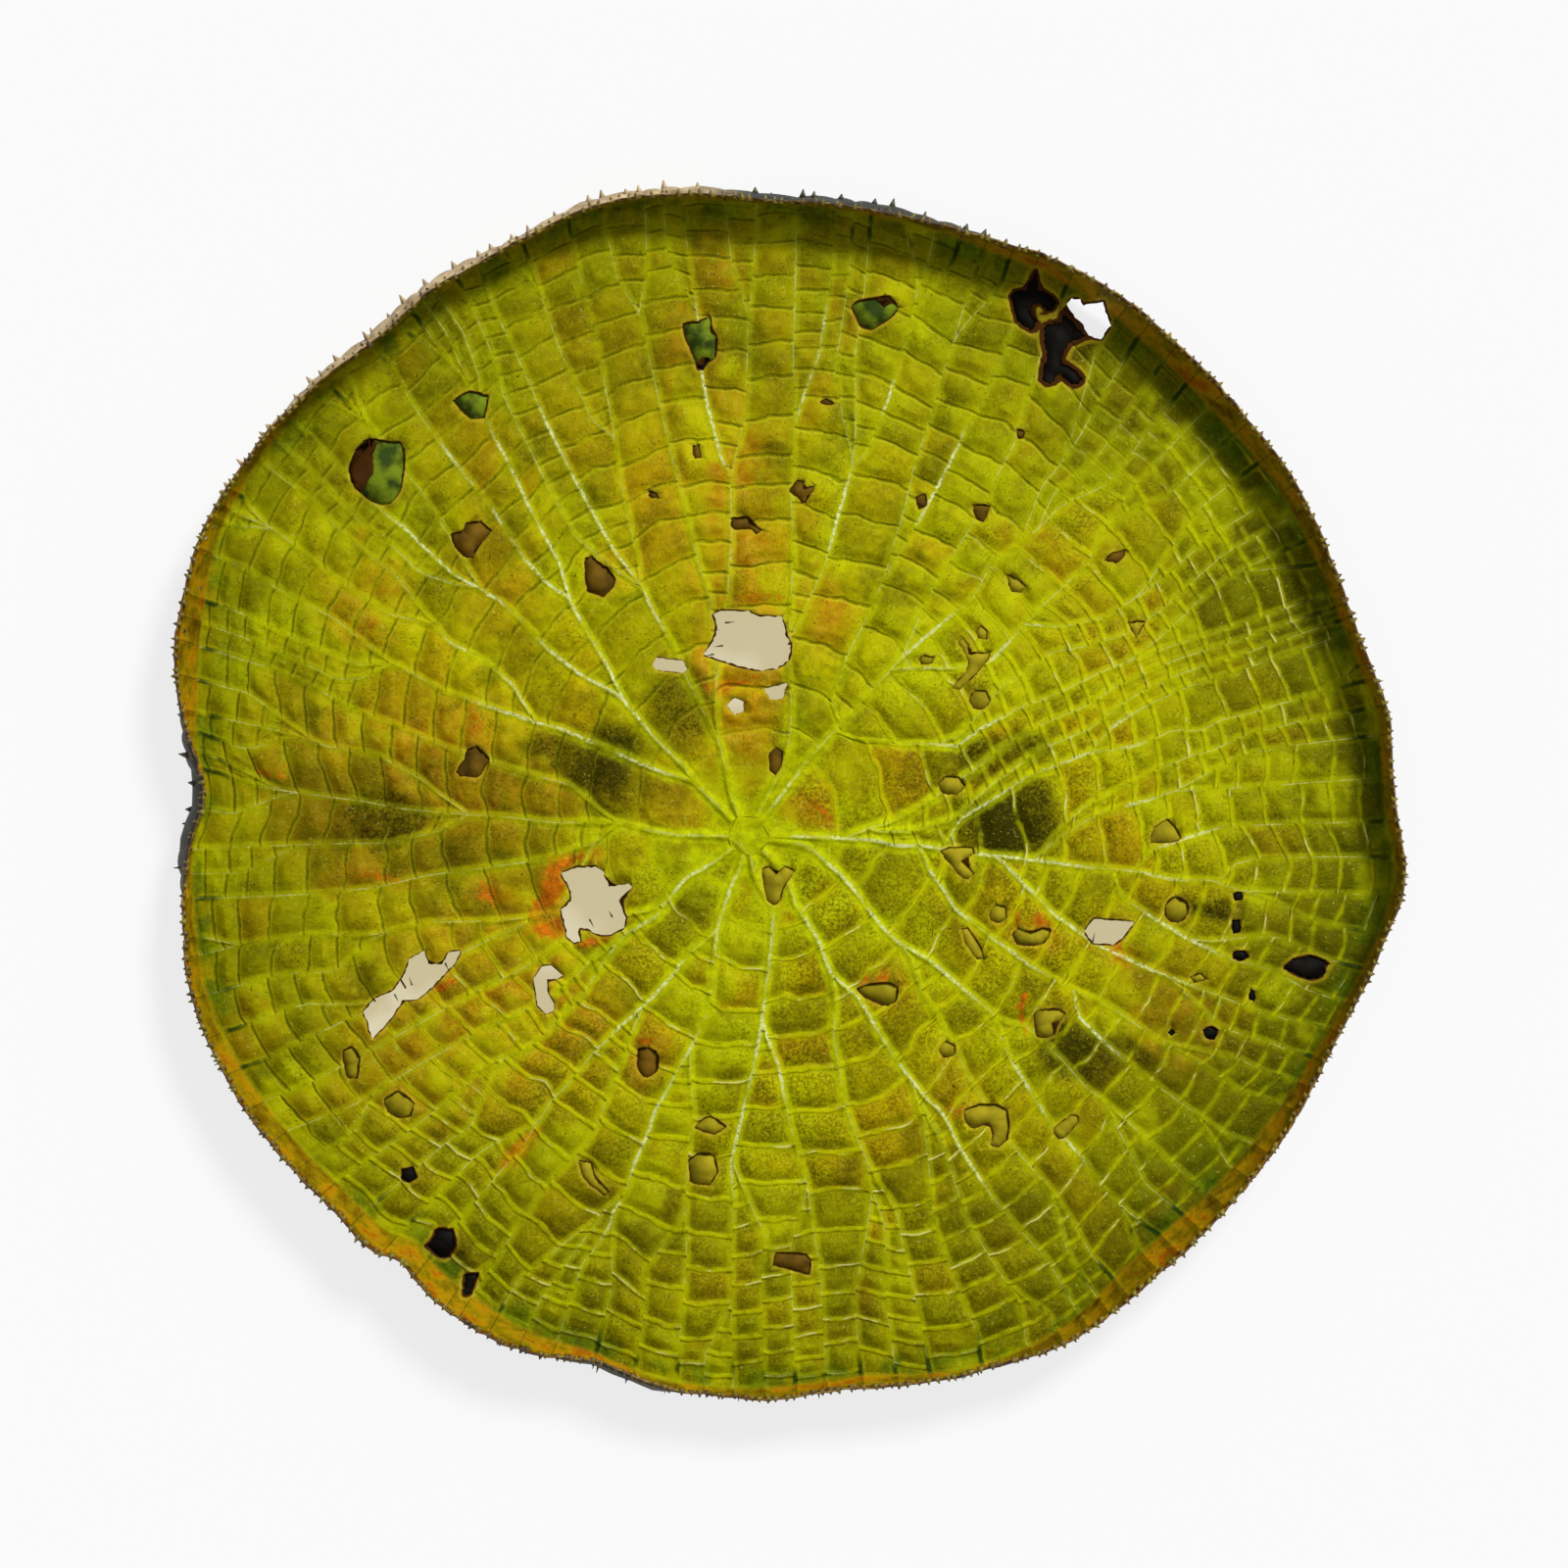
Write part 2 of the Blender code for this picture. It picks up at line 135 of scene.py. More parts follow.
# Each vein: what it forks from, the shares of its way that carry a pale crest, and its points.
VEINS = {
    "east": ("hub", (0.05, 0.70), (
        (12, -42), (60, -44), (115, -49), (150, -54), (200, -61), (250, -66), (300, -73),
        (351, -77), (390, -86), (432, -87), (460, -98), (509, -99), (600, -102))),
    "east_fold": ("east", (0, 0), ((432, -87), (455, -70), (482, -64), (551, -63), (605, -63))),
    "east_low": ("east", (0.60, 0.80), (
        (320, -75), (336, -102), (371, -126), (408, -148), (450, -168), (494, -179), (526, -198),
        (565, -212))),
    "east_high": ("east", (0.62, 0.76), (
        (350, -77), (370, -55), (403, -44), (442, -32), (509, -29), (600, -27))),
    "east_rise": ("east", (0.50, 0.72), (
        (245, -65), (263, -44), (298, -25), (333, -13), (372, -3), (389, 4), (480, 9), (556, 15),
        (605, 18))),
    "east_rise_fork": ("east_rise", (0, 0), ((389, 4), (430, 25), (470, 43), (519, 52), (605, 62))),
    "long_rise": ("east", (0.30, 0.66), (
        (150, -54), (178, -16), (220, 5), (241, 19), (274, 32), (302, 43), (350, 50), (392, 67),
        (420, 66), (442, 78), (470, 84), (504, 95), (590, 118))),
    "north_east": ("hub", (0.04, 0.16), (
        (-20, -12), (12, 30), (51, 74), (85, 110), (112, 140), (137, 199), (154, 227), (176, 263),
        (200, 300), (207, 321), (227, 357), (235, 379), (246, 424), (262, 470), (288, 540))),
    "first_step": ("north_east", (0.30, 0.56), (
        (40, 60), (68, 56), (110, 52), (168, 50), (196, 70), (230, 87), (280, 108), (316, 126),
        (336, 134), (392, 154), (448, 168), (560, 205))),
    "second_step": ("long_rise", (0.55, 0.66), (
        (302, 43), (328, 70), (361, 91), (400, 109), (448, 126), (498, 145), (585, 175))),
    "upper_step": ("first_step", (0, 0), (
        (336, 134), (378, 162), (417, 199), (445, 222), (470, 235), (545, 270))),
    "corner": ("north_east", (0.20, 0.55), (
        (100, 127), (130, 130), (165, 130), (204, 137), (235, 171), (249, 187), (286, 221),
        (300, 232), (319, 269), (350, 315), (400, 370), (440, 412))),
    "corner_low": ("corner", (0.42, 0.70), (
        (235, 171), (275, 172), (319, 182), (361, 207), (392, 232), (426, 263), (505, 312))),
    "corner_high": ("north_east", (0.30, 0.50), (
        (112, 140), (148, 171), (185, 201), (204, 235), (235, 260), (241, 277), (255, 312),
        (290, 360), (325, 420), (365, 485))),
    "north_fan": ("north_east", (0, 0), (
        (45, 67), (40, 95), (58, 145), (79, 185), (93, 218), (113, 283), (124, 329), (135, 365),
        (154, 427), (175, 494), (200, 570))),
    "north_fan_fork": ("north_fan", (0.55, 0.75), (
        (93, 218), (130, 280), (160, 335), (176, 371), (190, 396), (212, 440), (236, 500),
        (250, 548))),
    "north": ("hub", (0, 0), (
        (-30, -10), (-8, 30), (-5, 140), (0, 300), (2, 450), (5, 605))),
    "north_right": ("north", (0.44, 0.62), (
        (-4, 150), (14, 190), (34, 234), (48, 287), (62, 335), (66, 400), (65, 450), (74, 510),
        (82, 600))),
    "north_tip": ("north", (0.66, 0.86), ((1, 370), (16, 419), (29, 455), (41, 533), (44, 600))),
    "north_right_fork": ("north_right", (0.62, 0.80), (
        (62, 335), (76, 349), (99, 405), (116, 461), (123, 494), (138, 539), (150, 590))),
    "north_west": ("hub", (0.34, 0.78), (
        (-52, -25), (-61, -3), (-66, 22), (-72, 50), (-83, 70), (-107, 120), (-117, 145),
        (-142, 190), (-153, 213), (-167, 229), (-184, 255), (-201, 285), (-226, 332), (-251, 382),
        (-273, 433), (-290, 469), (-304, 498), (-320, 545))),
    "strip": ("north_west", (0, 0), (
        (-72, 50), (-76, 120), (-83, 201), (-94, 235), (-108, 287), (-128, 371), (-147, 455),
        (-153, 489), (-178, 528), (-195, 600))),
    "strip_fork": ("strip", (0, 0), ((-153, 489), (-148, 539), (-150, 605))),
    "strip_inner": ("strip", (0.40, 0.86), (
        (-76, 110), (-70, 160), (-65, 207), (-61, 259), (-62, 326), (-72, 346), (-86, 399),
        (-92, 433), (-97, 494), (-103, 533), (-112, 605))),
    "strip_inner_fork": ("strip_inner", (0, 0), (
        (-62, 320), (-47, 385), (-44, 483), (-38, 553), (-36, 605))),
    "strip_inner_tip": ("strip_inner_fork", (0, 0), ((-44, 483), (-61, 545), (-68, 605))),
    "west_strip": ("north_west", (0, 0), (
        (-153, 213), (-156, 241), (-164, 273), (-173, 315), (-181, 360), (-184, 385), (-198, 461),
        (-223, 556), (-230, 595))),
    "west_strip_fork": ("west_strip", (0, 0), (
        (-181, 360), (-204, 385), (-237, 455), (-265, 539), (-275, 565))),
    "long_diagonal": ("hub", (0.06, 0.80), (
        (-72, -14), (-94, 8), (-111, 31), (-134, 53), (-170, 95), (-187, 131), (-201, 154),
        (-226, 198), (-237, 238), (-262, 283), (-287, 335), (-315, 388), (-320, 430), (-343, 477),
        (-365, 515))),
    "diagonal_left": ("long_diagonal", (0.36, 0.84), (
        (-226, 198), (-251, 218), (-273, 242), (-306, 293), (-346, 343), (-382, 391), (-413, 444),
        (-432, 462))),
    "diagonal_low": ("long_diagonal", (0.26, 0.80), (
        (-170, 95), (-215, 123), (-251, 151), (-273, 176), (-298, 199), (-318, 210), (-340, 221),
        (-379, 257), (-396, 274), (-418, 290), (-452, 323), (-480, 354), (-518, 390))),
    "diagonal_mid": ("diagonal_low", (0, 0), (
        (-318, 210), (-346, 259), (-379, 312), (-399, 335), (-430, 377), (-460, 407), (-478, 425))),
    "west_fan": ("long_diagonal", (0.10, 0.55), (
        (-94, 8), (-128, 22), (-156, 33), (-201, 53), (-240, 70), (-262, 75), (-298, 87),
        (-354, 106), (-404, 134), (-438, 131), (-480, 148), (-525, 168), (-564, 187), (-615, 203))),
    "west_fan_tip": ("west_fan", (0, 0), (
        (-404, 134), (-430, 151), (-469, 182), (-514, 204), (-558, 232), (-608, 252))),
    "west_fan_high": ("west_fan", (0.40, 0.60), (
        (-259, 75), (-284, 112), (-312, 137), (-351, 157), (-368, 179), (-404, 224), (-435, 248),
        (-458, 267), (-491, 301), (-530, 332), (-550, 347))),
    "west_fan_mid": ("west_fan_high", (0, 0), (
        (-360, 168), (-371, 176), (-410, 185), (-469, 224), (-525, 269), (-585, 296))),
    "west": ("hub", (0.08, 0.20), (
        (-120, -40), (-172, -28), (-240, -28), (-298, -21), (-326, -20), (-396, -14), (-438, -6),
        (-522, 5), (-556, 15), (-600, 26))),
    "west_high": ("west", (0, 0), (
        (-172, -28), (-206, -6), (-226, 11), (-268, 22), (-304, 33), (-354, 50), (-410, 75),
        (-452, 89), (-480, 106), (-530, 129), (-624, 158))),
    "west_dent": ("west", (0, 0), (
        (-326, -20), (-354, -3), (-379, 17), (-424, 42), (-474, 50), (-528, 67), (-616, 86))),
    "west_flat": ("west", (0, 0), (
        (-326, -20), (-362, -37), (-413, -49), (-455, -49), (-540, -52), (-612, -55))),
    "west_low": ("west", (0, 0), (
        (-172, -28), (-200, -48), (-250, -65), (-326, -76), (-368, -81), (-424, -94), (-494, -101),
        (-618, -106))),
    "low_shelf": ("west_low", (0, 0), (
        (-200, -48), (-222, -95), (-245, -121), (-326, -129), (-368, -129), (-430, -143),
        (-483, -142), (-550, -150), (-617, -166))),
    "low_shelf_fork": ("low_shelf", (0, 0), (
        (-245, -121), (-284, -136), (-337, -161), (-390, -195), (-439, -222), (-494, -248),
        (-539, -271), (-588, -287))),
    "south_west": ("hub", (0.06, 0.40), (
        (-75, -65), (-106, -83), (-136, -122), (-170, -142), (-201, -181), (-212, -203),
        (-243, -234), (-262, -254), (-318, -278), (-337, -301), (-400, -350), (-480, -405))),
    "south_west_fork": ("south_west", (0, 0), (
        (-170, -142), (-245, -205), (-318, -240), (-380, -275), (-450, -318), (-535, -350))),
    "south_bend": ("hub", (0.06, 0.82), (
        (-52, -72), (-61, -91), (-75, -133), (-78, -159), (-80, -192), (-85, -220), (-103, -259),
        (-117, -282), (-128, -304), (-139, -321), (-148, -349), (-162, -380), (-170, -408),
        (-184, -427), (-212, -472), (-240, -560))),
    "bend_left": ("south_bend", (0.14, 0.50), (
        (-75, -133), (-103, -159), (-139, -203), (-176, -237), (-204, -265), (-229, -296),
        (-246, -313), (-256, -329), (-276, -360), (-298, -385), (-326, -419), (-385, -490))),
    "bend_mid": ("bend_left", (0, 0), (
        (-150, -213), (-173, -271), (-195, -327), (-206, -352), (-243, -391), (-280, -440),
        (-335, -525))),
    "bend_right": ("south_bend", (0, 0), (
        (-100, -255), (-100, -321), (-108, -391), (-107, -475), (-118, -600))),
    "south": ("hub", (0.10, 0.66), (
        (-38, -80), (-20, -113), (-22, -167), (-26, -195), (-33, -248), (-47, -310), (-58, -360),
        (-62, -377), (-59, -405), (-61, -461), (-60, -608))),
    "south_fork": ("south", (0.30, 0.50), (
        (-28, -225), (-13, -276), (-2, -335), (15, -391), (23, -447), (29, -483), (35, -600))),
    "south_east": ("hub", (0.10, 0.78), (
        (-20, -65), (-5, -85), (4, -111), (26, -145), (40, -181), (68, -206), (93, -248),
        (118, -285), (152, -327), (179, -371), (207, -413), (241, -453), (262, -475), (300, -542))),
    "south_east_fork": ("south_east", (0, 0), (
        (40, -181), (43, -248), (54, -315), (76, -371), (101, -419), (110, -441), (142, -592))),
    "low_right": ("hub", (0.10, 0.84), (
        (12, -50), (35, -68), (62, -94), (79, -117), (96, -139), (113, -153), (140, -167),
        (179, -201), (207, -223), (221, -265), (249, -310), (269, -341), (297, -369), (314, -397),
        (336, -419), (367, -444), (398, -462))),
    "low_right_inner": ("low_right", (0, 0), (
        (113, -153), (134, -203), (154, -234), (182, -290), (224, -357), (258, -394), (286, -433),
        (308, -472), (345, -512))),
    "low_right_outer": ("low_right", (0, 0), (
        (207, -223), (241, -237), (269, -262), (302, -299), (330, -321), (385, -372), (440, -420))),
    "right_diagonal": ("east", (0.16, 0.56), (
        (125, -50), (140, -76), (168, -117), (207, -147), (246, -175), (283, -196), (328, -217),
        (372, -248), (420, -276), (462, -304), (522, -322))),
    "right_diagonal_low": ("right_diagonal", (0.55, 0.75), (
        (283, -196), (294, -226), (322, -254), (358, -285), (403, -318), (448, -349), (492, -362))),
    "right_slope": ("east", (0.30, 0.80), (
        (205, -62), (238, -91), (269, -122), (311, -152), (350, -170), (381, -184), (428, -201),
        (482, -223), (560, -242))),
}

# Torn places as closed outlines, each with how jagged its edge is and how far it has browned, in mm.
# Some are open. In the others the upper tissue is eaten away and a thin film is left, brown or
# olive, or a pit with green lumps in it, or a black pit: partly rotted tissue, partly painted shade for the
# dark seen down a hole.
TORN = {
    "open": (
        (3, 4, ((283, 505), (288, 511), (297, 510), (300, 504), (321, 507), (323, 497), (328, 483),
                (318, 469), (305, 472), (300, 483), (291, 491))),
        (2, 3, ((300, -139), (310, -126), (339, -129), (352, -130), (339, -146), (330, -153),
                (309, -151))),
        (3, 3, ((-80, 186), (-72, 189), (-44, 189), (-33, 183), (-10, 183), (-6, 165), (0, 154),
                (-3, 138), (-15, 130), (-30, 128), (-47, 131), (-72, 138), (-90, 145), (-80, 158),
                (-75, 171))),
        (2, 1, ((-142, 134), (-138, 141), (-111, 138), (-107, 130), (-111, 125), (-139, 129))),
        (2, 1, ((-27, 109), (-4, 115), (-9, 99), (-22, 98))),
        (1, 1, ((-66, 92), (-58, 100), (-49, 96), (-49, 86), (-58, 83))),
        (3, 3, ((-235, -80), (-226, -75), (-201, -73), (-192, -79), (-187, -94), (-167, -90),
                (-163, -93), (-174, -104), (-177, -108), (-169, -125), (-171, -136), (-184, -142),
                (-201, -142), (-209, -136), (-218, -136), (-216, -149), (-222, -151), (-229, -145),
                (-235, -117), (-225, -108), (-225, -98))),
        (1, 2, ((-255, -175), (-246, -174), (-234, -184), (-240, -188), (-250, -188), (-250, -201),
                (-243, -213), (-243, -220), (-251, -224), (-260, -215), (-264, -187))),
        (2, 2, ((-439, -222), (-427, -208), (-409, -201), (-395, -181), (-392, -168), (-376, -159),
                (-372, -173), (-358, -173), (-351, -161), (-339, -159), (-343, -170), (-368, -196),
                (-383, -209), (-399, -210), (-407, -224), (-424, -244), (-430, -250), (-434, -234))),
    ),
    "brown": (
        (3, 1, ((-350, 268), (-338, 270), (-333, 280), (-318, 281), (-307, 272), (-322, 255),
                (-326, 243), (-332, 243), (-345, 255))),
        (2, 2, ((29, 404), (36, 407), (45, 402), (37, 400))),
        (1, 2, ((-101, 358), (-94, 360), (-92, 346), (-99, 345))),
        (1, 2, ((-147, 313), (-138, 310), (-134, 304), (-144, 305))),
        (3, 1, ((-3, 312), (6, 324), (12, 322), (13, 315), (25, 318), (23, 311), (16, 308), (15, 300),
                (10, 299), (6, 307))),
        (3, 2, ((-62, 284), (-59, 272), (-44, 274), (-36, 267), (-29, 272), (-43, 280), (-45, 285))),
        (2, 1, ((127, 306), (137, 309), (139, 297), (130, 293))),
        (1, 2, ((231, 376), (239, 374), (238, 366), (232, 366))),
        (3, 1, ((186, 298), (204, 297), (197, 281), (189, 283))),
        (3, 1, ((319, 241), (325, 245), (333, 251), (343, 252), (342, 246), (333, 238))),
        (3, 4, ((-157, -262), (-146, -257), (-137, -264), (-139, -282), (-147, -289), (-155, -284))),
        (1, 1, ((-19, -483), (-16, -468), (15, -470), (20, -476), (19, -492), (-17, -482))),
        (1, 1, ((-23, 43), (-15, 50), (-9, 45), (-10, 31), (-16, 21), (-22, 25))),
        (4, 2, ((-211, 243), (-204, 246), (-198, 239), (-184, 228), (-181, 221), (-185, 210),
                (-191, 203), (-209, 210), (-209, 220))),
        (3, 1, ((-332, 47), (-323, 51), (-309, 38), (-320, 19), (-339, 19), (-344, 24), (-334, 38))),
    ),
    "olive": (
        (3, 2, ((-460, -262), (-450, -258), (-443, -270), (-446, -290), (-456, -290))),
        (2, 2, ((-418, -312), (-402, -303), (-387, -315), (-391, -328), (-402, -331), (-414, -325))),
        (2, 1, ((220, 227), (232, 222), (241, 215), (234, 207), (225, 210))),
        (2, 1, ((345, 178), (363, 179), (353, 161))),
        (1, 1, ((130, 140), (136, 144), (146, 142), (144, 135), (133, 134))),
        (2, 1, ((171, 157), (176, 161), (181, 155), (182, 145), (203, 147), (202, 140), (190, 126),
                (172, 108), (164, 110), (178, 126), (183, 136), (178, 145))),
        (1, 1, ((189, 168), (195, 174), (201, 169), (200, 160), (191, 161))),
        (1, 1, ((182, 98), (188, 108), (200, 107), (204, 97), (198, 88), (186, 89))),
        (1, 1, ((150, 12), (158, 20), (172, 19), (178, 10), (170, 1), (155, 2))),
        (2, 1, ((153, -56), (162, -53), (186, -53), (188, -60), (174, -66), (187, -80), (181, -86),
                (174, -83), (165, -73), (157, -63))),
        (2, 1, ((385, -24), (372, -32), (368, -49), (389, -48), (400, -44), (393, -32))),
        (1, 1, ((203, -119), (210, -111), (220, -114), (221, -125), (213, -131), (204, -128))),
        (2, 4, ((383, -112), (394, -104), (405, -110), (407, -122), (397, -130), (385, -126))),
        (1, 1, ((408, -186), (420, -182), (426, -188), (414, -192))),
        (1, 3, ((227, -143), (232, -135), (246, -141), (258, -136), (265, -138), (264, -144),
                (255, -153), (232, -152))),
        (1, 1, ((174, -136), (181, -135), (188, -145), (196, -159), (198, -167), (190, -168),
                (179, -153))),
        (2, 2, ((249, -223), (255, -219), (276, -219), (281, -223), (277, -230), (268, -232),
                (269, -245), (258, -248), (251, -246))),
        (1, 1, ((151, -260), (158, -251), (168, -256), (167, -266), (157, -269))),
        (1, 2, ((177, -322), (193, -317), (210, -317), (221, -322), (223, -340), (221, -352),
                (213, -360), (204, -358), (208, -346), (203, -335), (193, -338), (186, -341),
                (179, -334))),
        (2, 1, ((269, -341), (287, -327), (294, -328), (295, -334), (279, -352), (271, -350))),
        (1, 1, ((-30, -75), (-22, -72), (-15, -80), (-6, -72), (4, -77), (-8, -93), (-12, -108),
                (-17, -112), (-24, -108), (-27, -97))),
        (1, 3, ((68, -198), (76, -194), (99, -192), (109, -196), (107, -209), (99, -216),
                (76, -206))),
        (2, 2, ((-99, -339), (-89, -331), (-82, -328), (-67, -339), (-78, -346), (-93, -343))),
        (3, 2, ((-106, -374), (-96, -367), (-80, -368), (-75, -384), (-84, -399), (-102, -397))),
        (2, 1, ((-218, -374), (-205, -376), (-201, -391), (-187, -406), (-191, -411), (-202, -402),
                (-213, -392))),
    ),
    "green": (
        (2, 2, ((-454, 335), (-448, 352), (-435, 366), (-420, 364), (-400, 362), (-397, 350),
                (-400, 315), (-408, 302), (-420, 298), (-432, 303), (-447, 315))),
        (2, 2, ((-348, 405), (-330, 415), (-311, 410), (-315, 388), (-328, 386), (-343, 401))),
        (3, 3, ((-110, 483), (-94, 486), (-84, 492), (-82, 477), (-76, 470), (-78, 449), (-89, 445),
                (-96, 438), (-99, 451), (-107, 466))),
        (1, 3, ((62, 503), (68, 507), (92, 511), (96, 517), (104, 507), (111, 501), (99, 489),
                (82, 478), (71, 482))),
    ),
    # black pits: a near-black film, partly rotted tissue and partly painted shade for the dark seen down a
    # hole
    "black": (
        (4, 6, ((252, 539), (253, 521), (265, 514), (272, 507), (270, 500), (263, 498), (253, 507),
                (243, 498), (252, 486), (245, 477), (232, 487), (228, 505), (225, 512), (231, 518),
                (242, 518), (245, 528))),
        (4, 9, ((260, 482), (266, 484), (277, 486), (280, 495), (302, 472), (286, 466), (280, 458),
                (277, 444), (291, 437), (298, 428), (294, 421), (284, 424), (276, 433), (265, 421),
                (258, 427), (258, 438), (263, 449), (260, 466))),
        (1, 2, ((453, -100), (462, -99), (463, -107), (455, -108))),
        (1, 2, ((452, -128), (460, -127), (461, -140), (453, -142))),
        (1, 2, ((454, -160), (464, -159), (470, -166), (461, -170), (454, -167))),
        (2, 3, ((505, -177), (515, -168), (532, -164), (541, -167), (553, -173), (547, -176),
                (549, -183), (541, -188), (530, -189), (515, -182))),
        (1, 2, ((471, -198), (476, -201), (475, -212), (470, -208))),
        (0, 1, ((386, -243), (390, -239), (394, -243), (390, -247))),
        (2, 2, ((422, -240), (430, -236), (438, -240), (434, -251), (425, -249))),
        (2, 2, ((-400, -384), (-388, -381), (-384, -392), (-392, -398), (-400, -394))),
        (3, 4, ((-368, -455), (-364, -446), (-348, -446), (-345, -462), (-352, -474), (-361, -474),
                (-375, -463))),
        (3, 4, ((-336, -492), (-322, -491), (-327, -502), (-329, -512), (-336, -513))),
        (3, 0, ((-452, 322), (-454, 338), (-447, 354), (-434, 366), (-424, 362), (-430, 350), (-428, 334),
                (-436, 318), (-444, 312))),
        (2, 0, ((88, 509), (97, 515), (103, 506), (95, 500))),
        (3, 0, ((-92, 450), (-84, 449), (-90, 436), (-97, 440))),
    ),
}

# Stained patches: (x, y, half length, half width, turn in degrees, strength), by kind.
STAINS = {
    "warm": (
        (-400, 20, 170, 90, 0, 0.75), (-320, -230, 150, 110, 30, 0.75), (-60, 300, 40, 130, 5, 0.8),
        (-50, 170, 50, 130, 0, 0.95), (28, 190, 26, 42, 0, 0.8), (-100, 450, 42, 62, 10, 0.75),
        (-80, 545, 30, 34, 0, 0.7), (60, 480, 26, 26, 0, 0.75), (-170, 240, 26, 24, 0, 0.7),
        (-430, 192, 46, 40, 20, 0.8), (-520, 45, 40, 22, 10, 0.8), (-430, -78, 60, 22, 0, 0.8),
        (-245, -115, 34, 46, 0, 1.0), (-205, -155, 26, 14, 20, 1.0), (-310, -105, 24, 18, 0, 0.9),
        (-285, -230, 30, 24, 30, 0.7), (-360, -215, 44, 24, 35, 0.8), (-335, -270, 44, 34, 20, 0.7),
        (-280, -362, 34, 12, 45, 1.0), (-150, -270, 26, 34, 0, 0.7), (90, -196, 34, 26, 0, 0.7),
        (245, -140, 30, 18, 0, 0.8), (330, -160, 44, 22, -30, 0.9), (395, -225, 62, 42, -35, 0.8),
        (170, -300, 30, 34, 20, 0.6), (20, -22, 32, 14, -20, 0.9), (-210, -66, 22, 12, 0, 0.9),
        (-120, -12, 44, 26, 30, 0.5), (300, 240, 60, 50, 30, 0.3), (-300, 200, 44, 30, 30, 0.4),
        (-560, -240, 24, 44, 20, 0.7), (-600, 190, 16, 40, 0, 0.5), (375, -425, 26, 18, 35, 1.0),
        (70, -515, 12, 18, 0, 0.9), (-130, 340, 70, 120, 10, 0.35), (0, 400, 30, 140, 0, 0.3),
        (350, 150, 60, 50, 0, 0.3), (-230, 420, 50, 90, 20, 0.25), (-330, 340, 60, 60, 30, 0.25),
    ),
    "dark": (
        (-380, -20, 170, 90, 0, 0.45), (-300, -60, 90, 60, 20, 0.35),
        (215, -32, 62, 34, 5, 1.0), (200, 40, 28, 24, 25, 0.7), (240, 50, 24, 22, 25, 0.7),
        (252, -10, 30, 24, 15, 0.8), (-195, 35, 52, 34, 15, 0.9), (-245, 48, 40, 26, 15, 0.7),
        (-110, 95, 46, 40, 30, 0.7), (-130, 60, 60, 34, 35, 0.5), (-415, -25, 44, 34, 0, 0.75),
        (290, -262, 44, 30, -35, 0.85), (355, -265, 30, 18, -35, 0.7), (425, -112, 30, 16, -10, 0.95),
        (285, 470, 46, 38, 60, 0.7), (-195, -160, 40, 30, 20, 0.5), (-150, 0, 60, 26, 15, 0.5),
        (130, -110, 60, 46, -40, 0.35), (-30, -150, 26, 70, 0, 0.3), (-100, -130, 40, 40, 0, 0.35),
        (480, 300, 50, 30, 60, 0.4), (520, -120, 30, 60, 0, 0.3), (380, -490, 50, 14, 40, 0.9),
        (-350, -480, 34, 20, 40, 0.6), (-180, -390, 60, 60, 0, 0.3), (40, -400, 60, 90, 0, 0.25),
        (200, -420, 60, 60, 0, 0.25),
    ),
    "scorch": (
        (-240, -108, 20, 44, 0, 1.0), (-205, -152, 24, 8, 20, 1.0), (-228, -68, 16, 8, 30, 1.0),
        (-310, -103, 10, 9, 0, 0.8), (-362, -190, 14, 12, 0, 0.9), (-280, -362, 30, 7, 45, 1.0),
        (-152, -254, 12, 8, 0, 0.8), (90, -186, 22, 8, 0, 0.9), (246, -130, 20, 7, 0, 1.0),
        (335, -158, 26, 8, -35, 1.0), (240, -226, 8, 16, 0, 0.9), (168, -325, 10, 10, 0, 0.7),
        (-45, 200, 50, 8, 0, 0.5), (-50, 120, 40, 8, 10, 0.7), (25, -20, 20, 5, -15, 0.7),
        (-330, 80, 12, 20, 0, 0.5), (-520, 30, 22, 8, 0, 0.6), (-425, -84, 30, 8, 0, 0.6),
    ),
    "lime": (
        (230, 260, 170, 110, 50, 0.55), (-540, 120, 80, 110, 0, 0.45), (30, 440, 150, 90, 0, 0.35),
        (-20, -60, 130, 90, 0, 0.9), (-60, -200, 60, 120, 0, 0.7), (-30, -330, 70, 120, 0, 0.5),
        (90, -120, 110, 40, -45, 0.7), (200, -250, 60, 60, -45, 0.4), (-190, -30, 40, 16, 0, 0.8),
        (140, 130, 90, 40, 40, 0.6), (-200, 250, 50, 60, 40, 0.6), (-90, 300, 20, 110, 5, 0.5),
        (-400, 330, 60, 80, 40, 0.6), (-560, 60, 50, 120, 0, 0.6), (100, -60, 120, 20, 0, 0.6),
        (420, 20, 120, 40, 5, 0.4), (250, 120, 90, 24, 25, 0.4), (180, 430, 60, 90, 0, 0.4),
        (-150, -350, 50, 60, 0, 0.4), (420, -340, 80, 40, -40, 0.3), (-300, 460, 40, 80, 30, 0.4),
        (55, 300, 26, 120, -10, 0.4), (0, 60, 22, 60, -20, 0.6), (-330, -330, 60, 60, 0, 0.3),
    ),
}

# ---------------------------------------------------------------- shape of the leaf
TURN = math.tau


def placed(point):
    return Vector(point) * MM - MIDDLE


def direction(point):
    """The angle of a point seen from the hub, from 0 to one full turn."""
    return math.atan2(point.y - HUB.y, point.x - HUB.x) % TURN


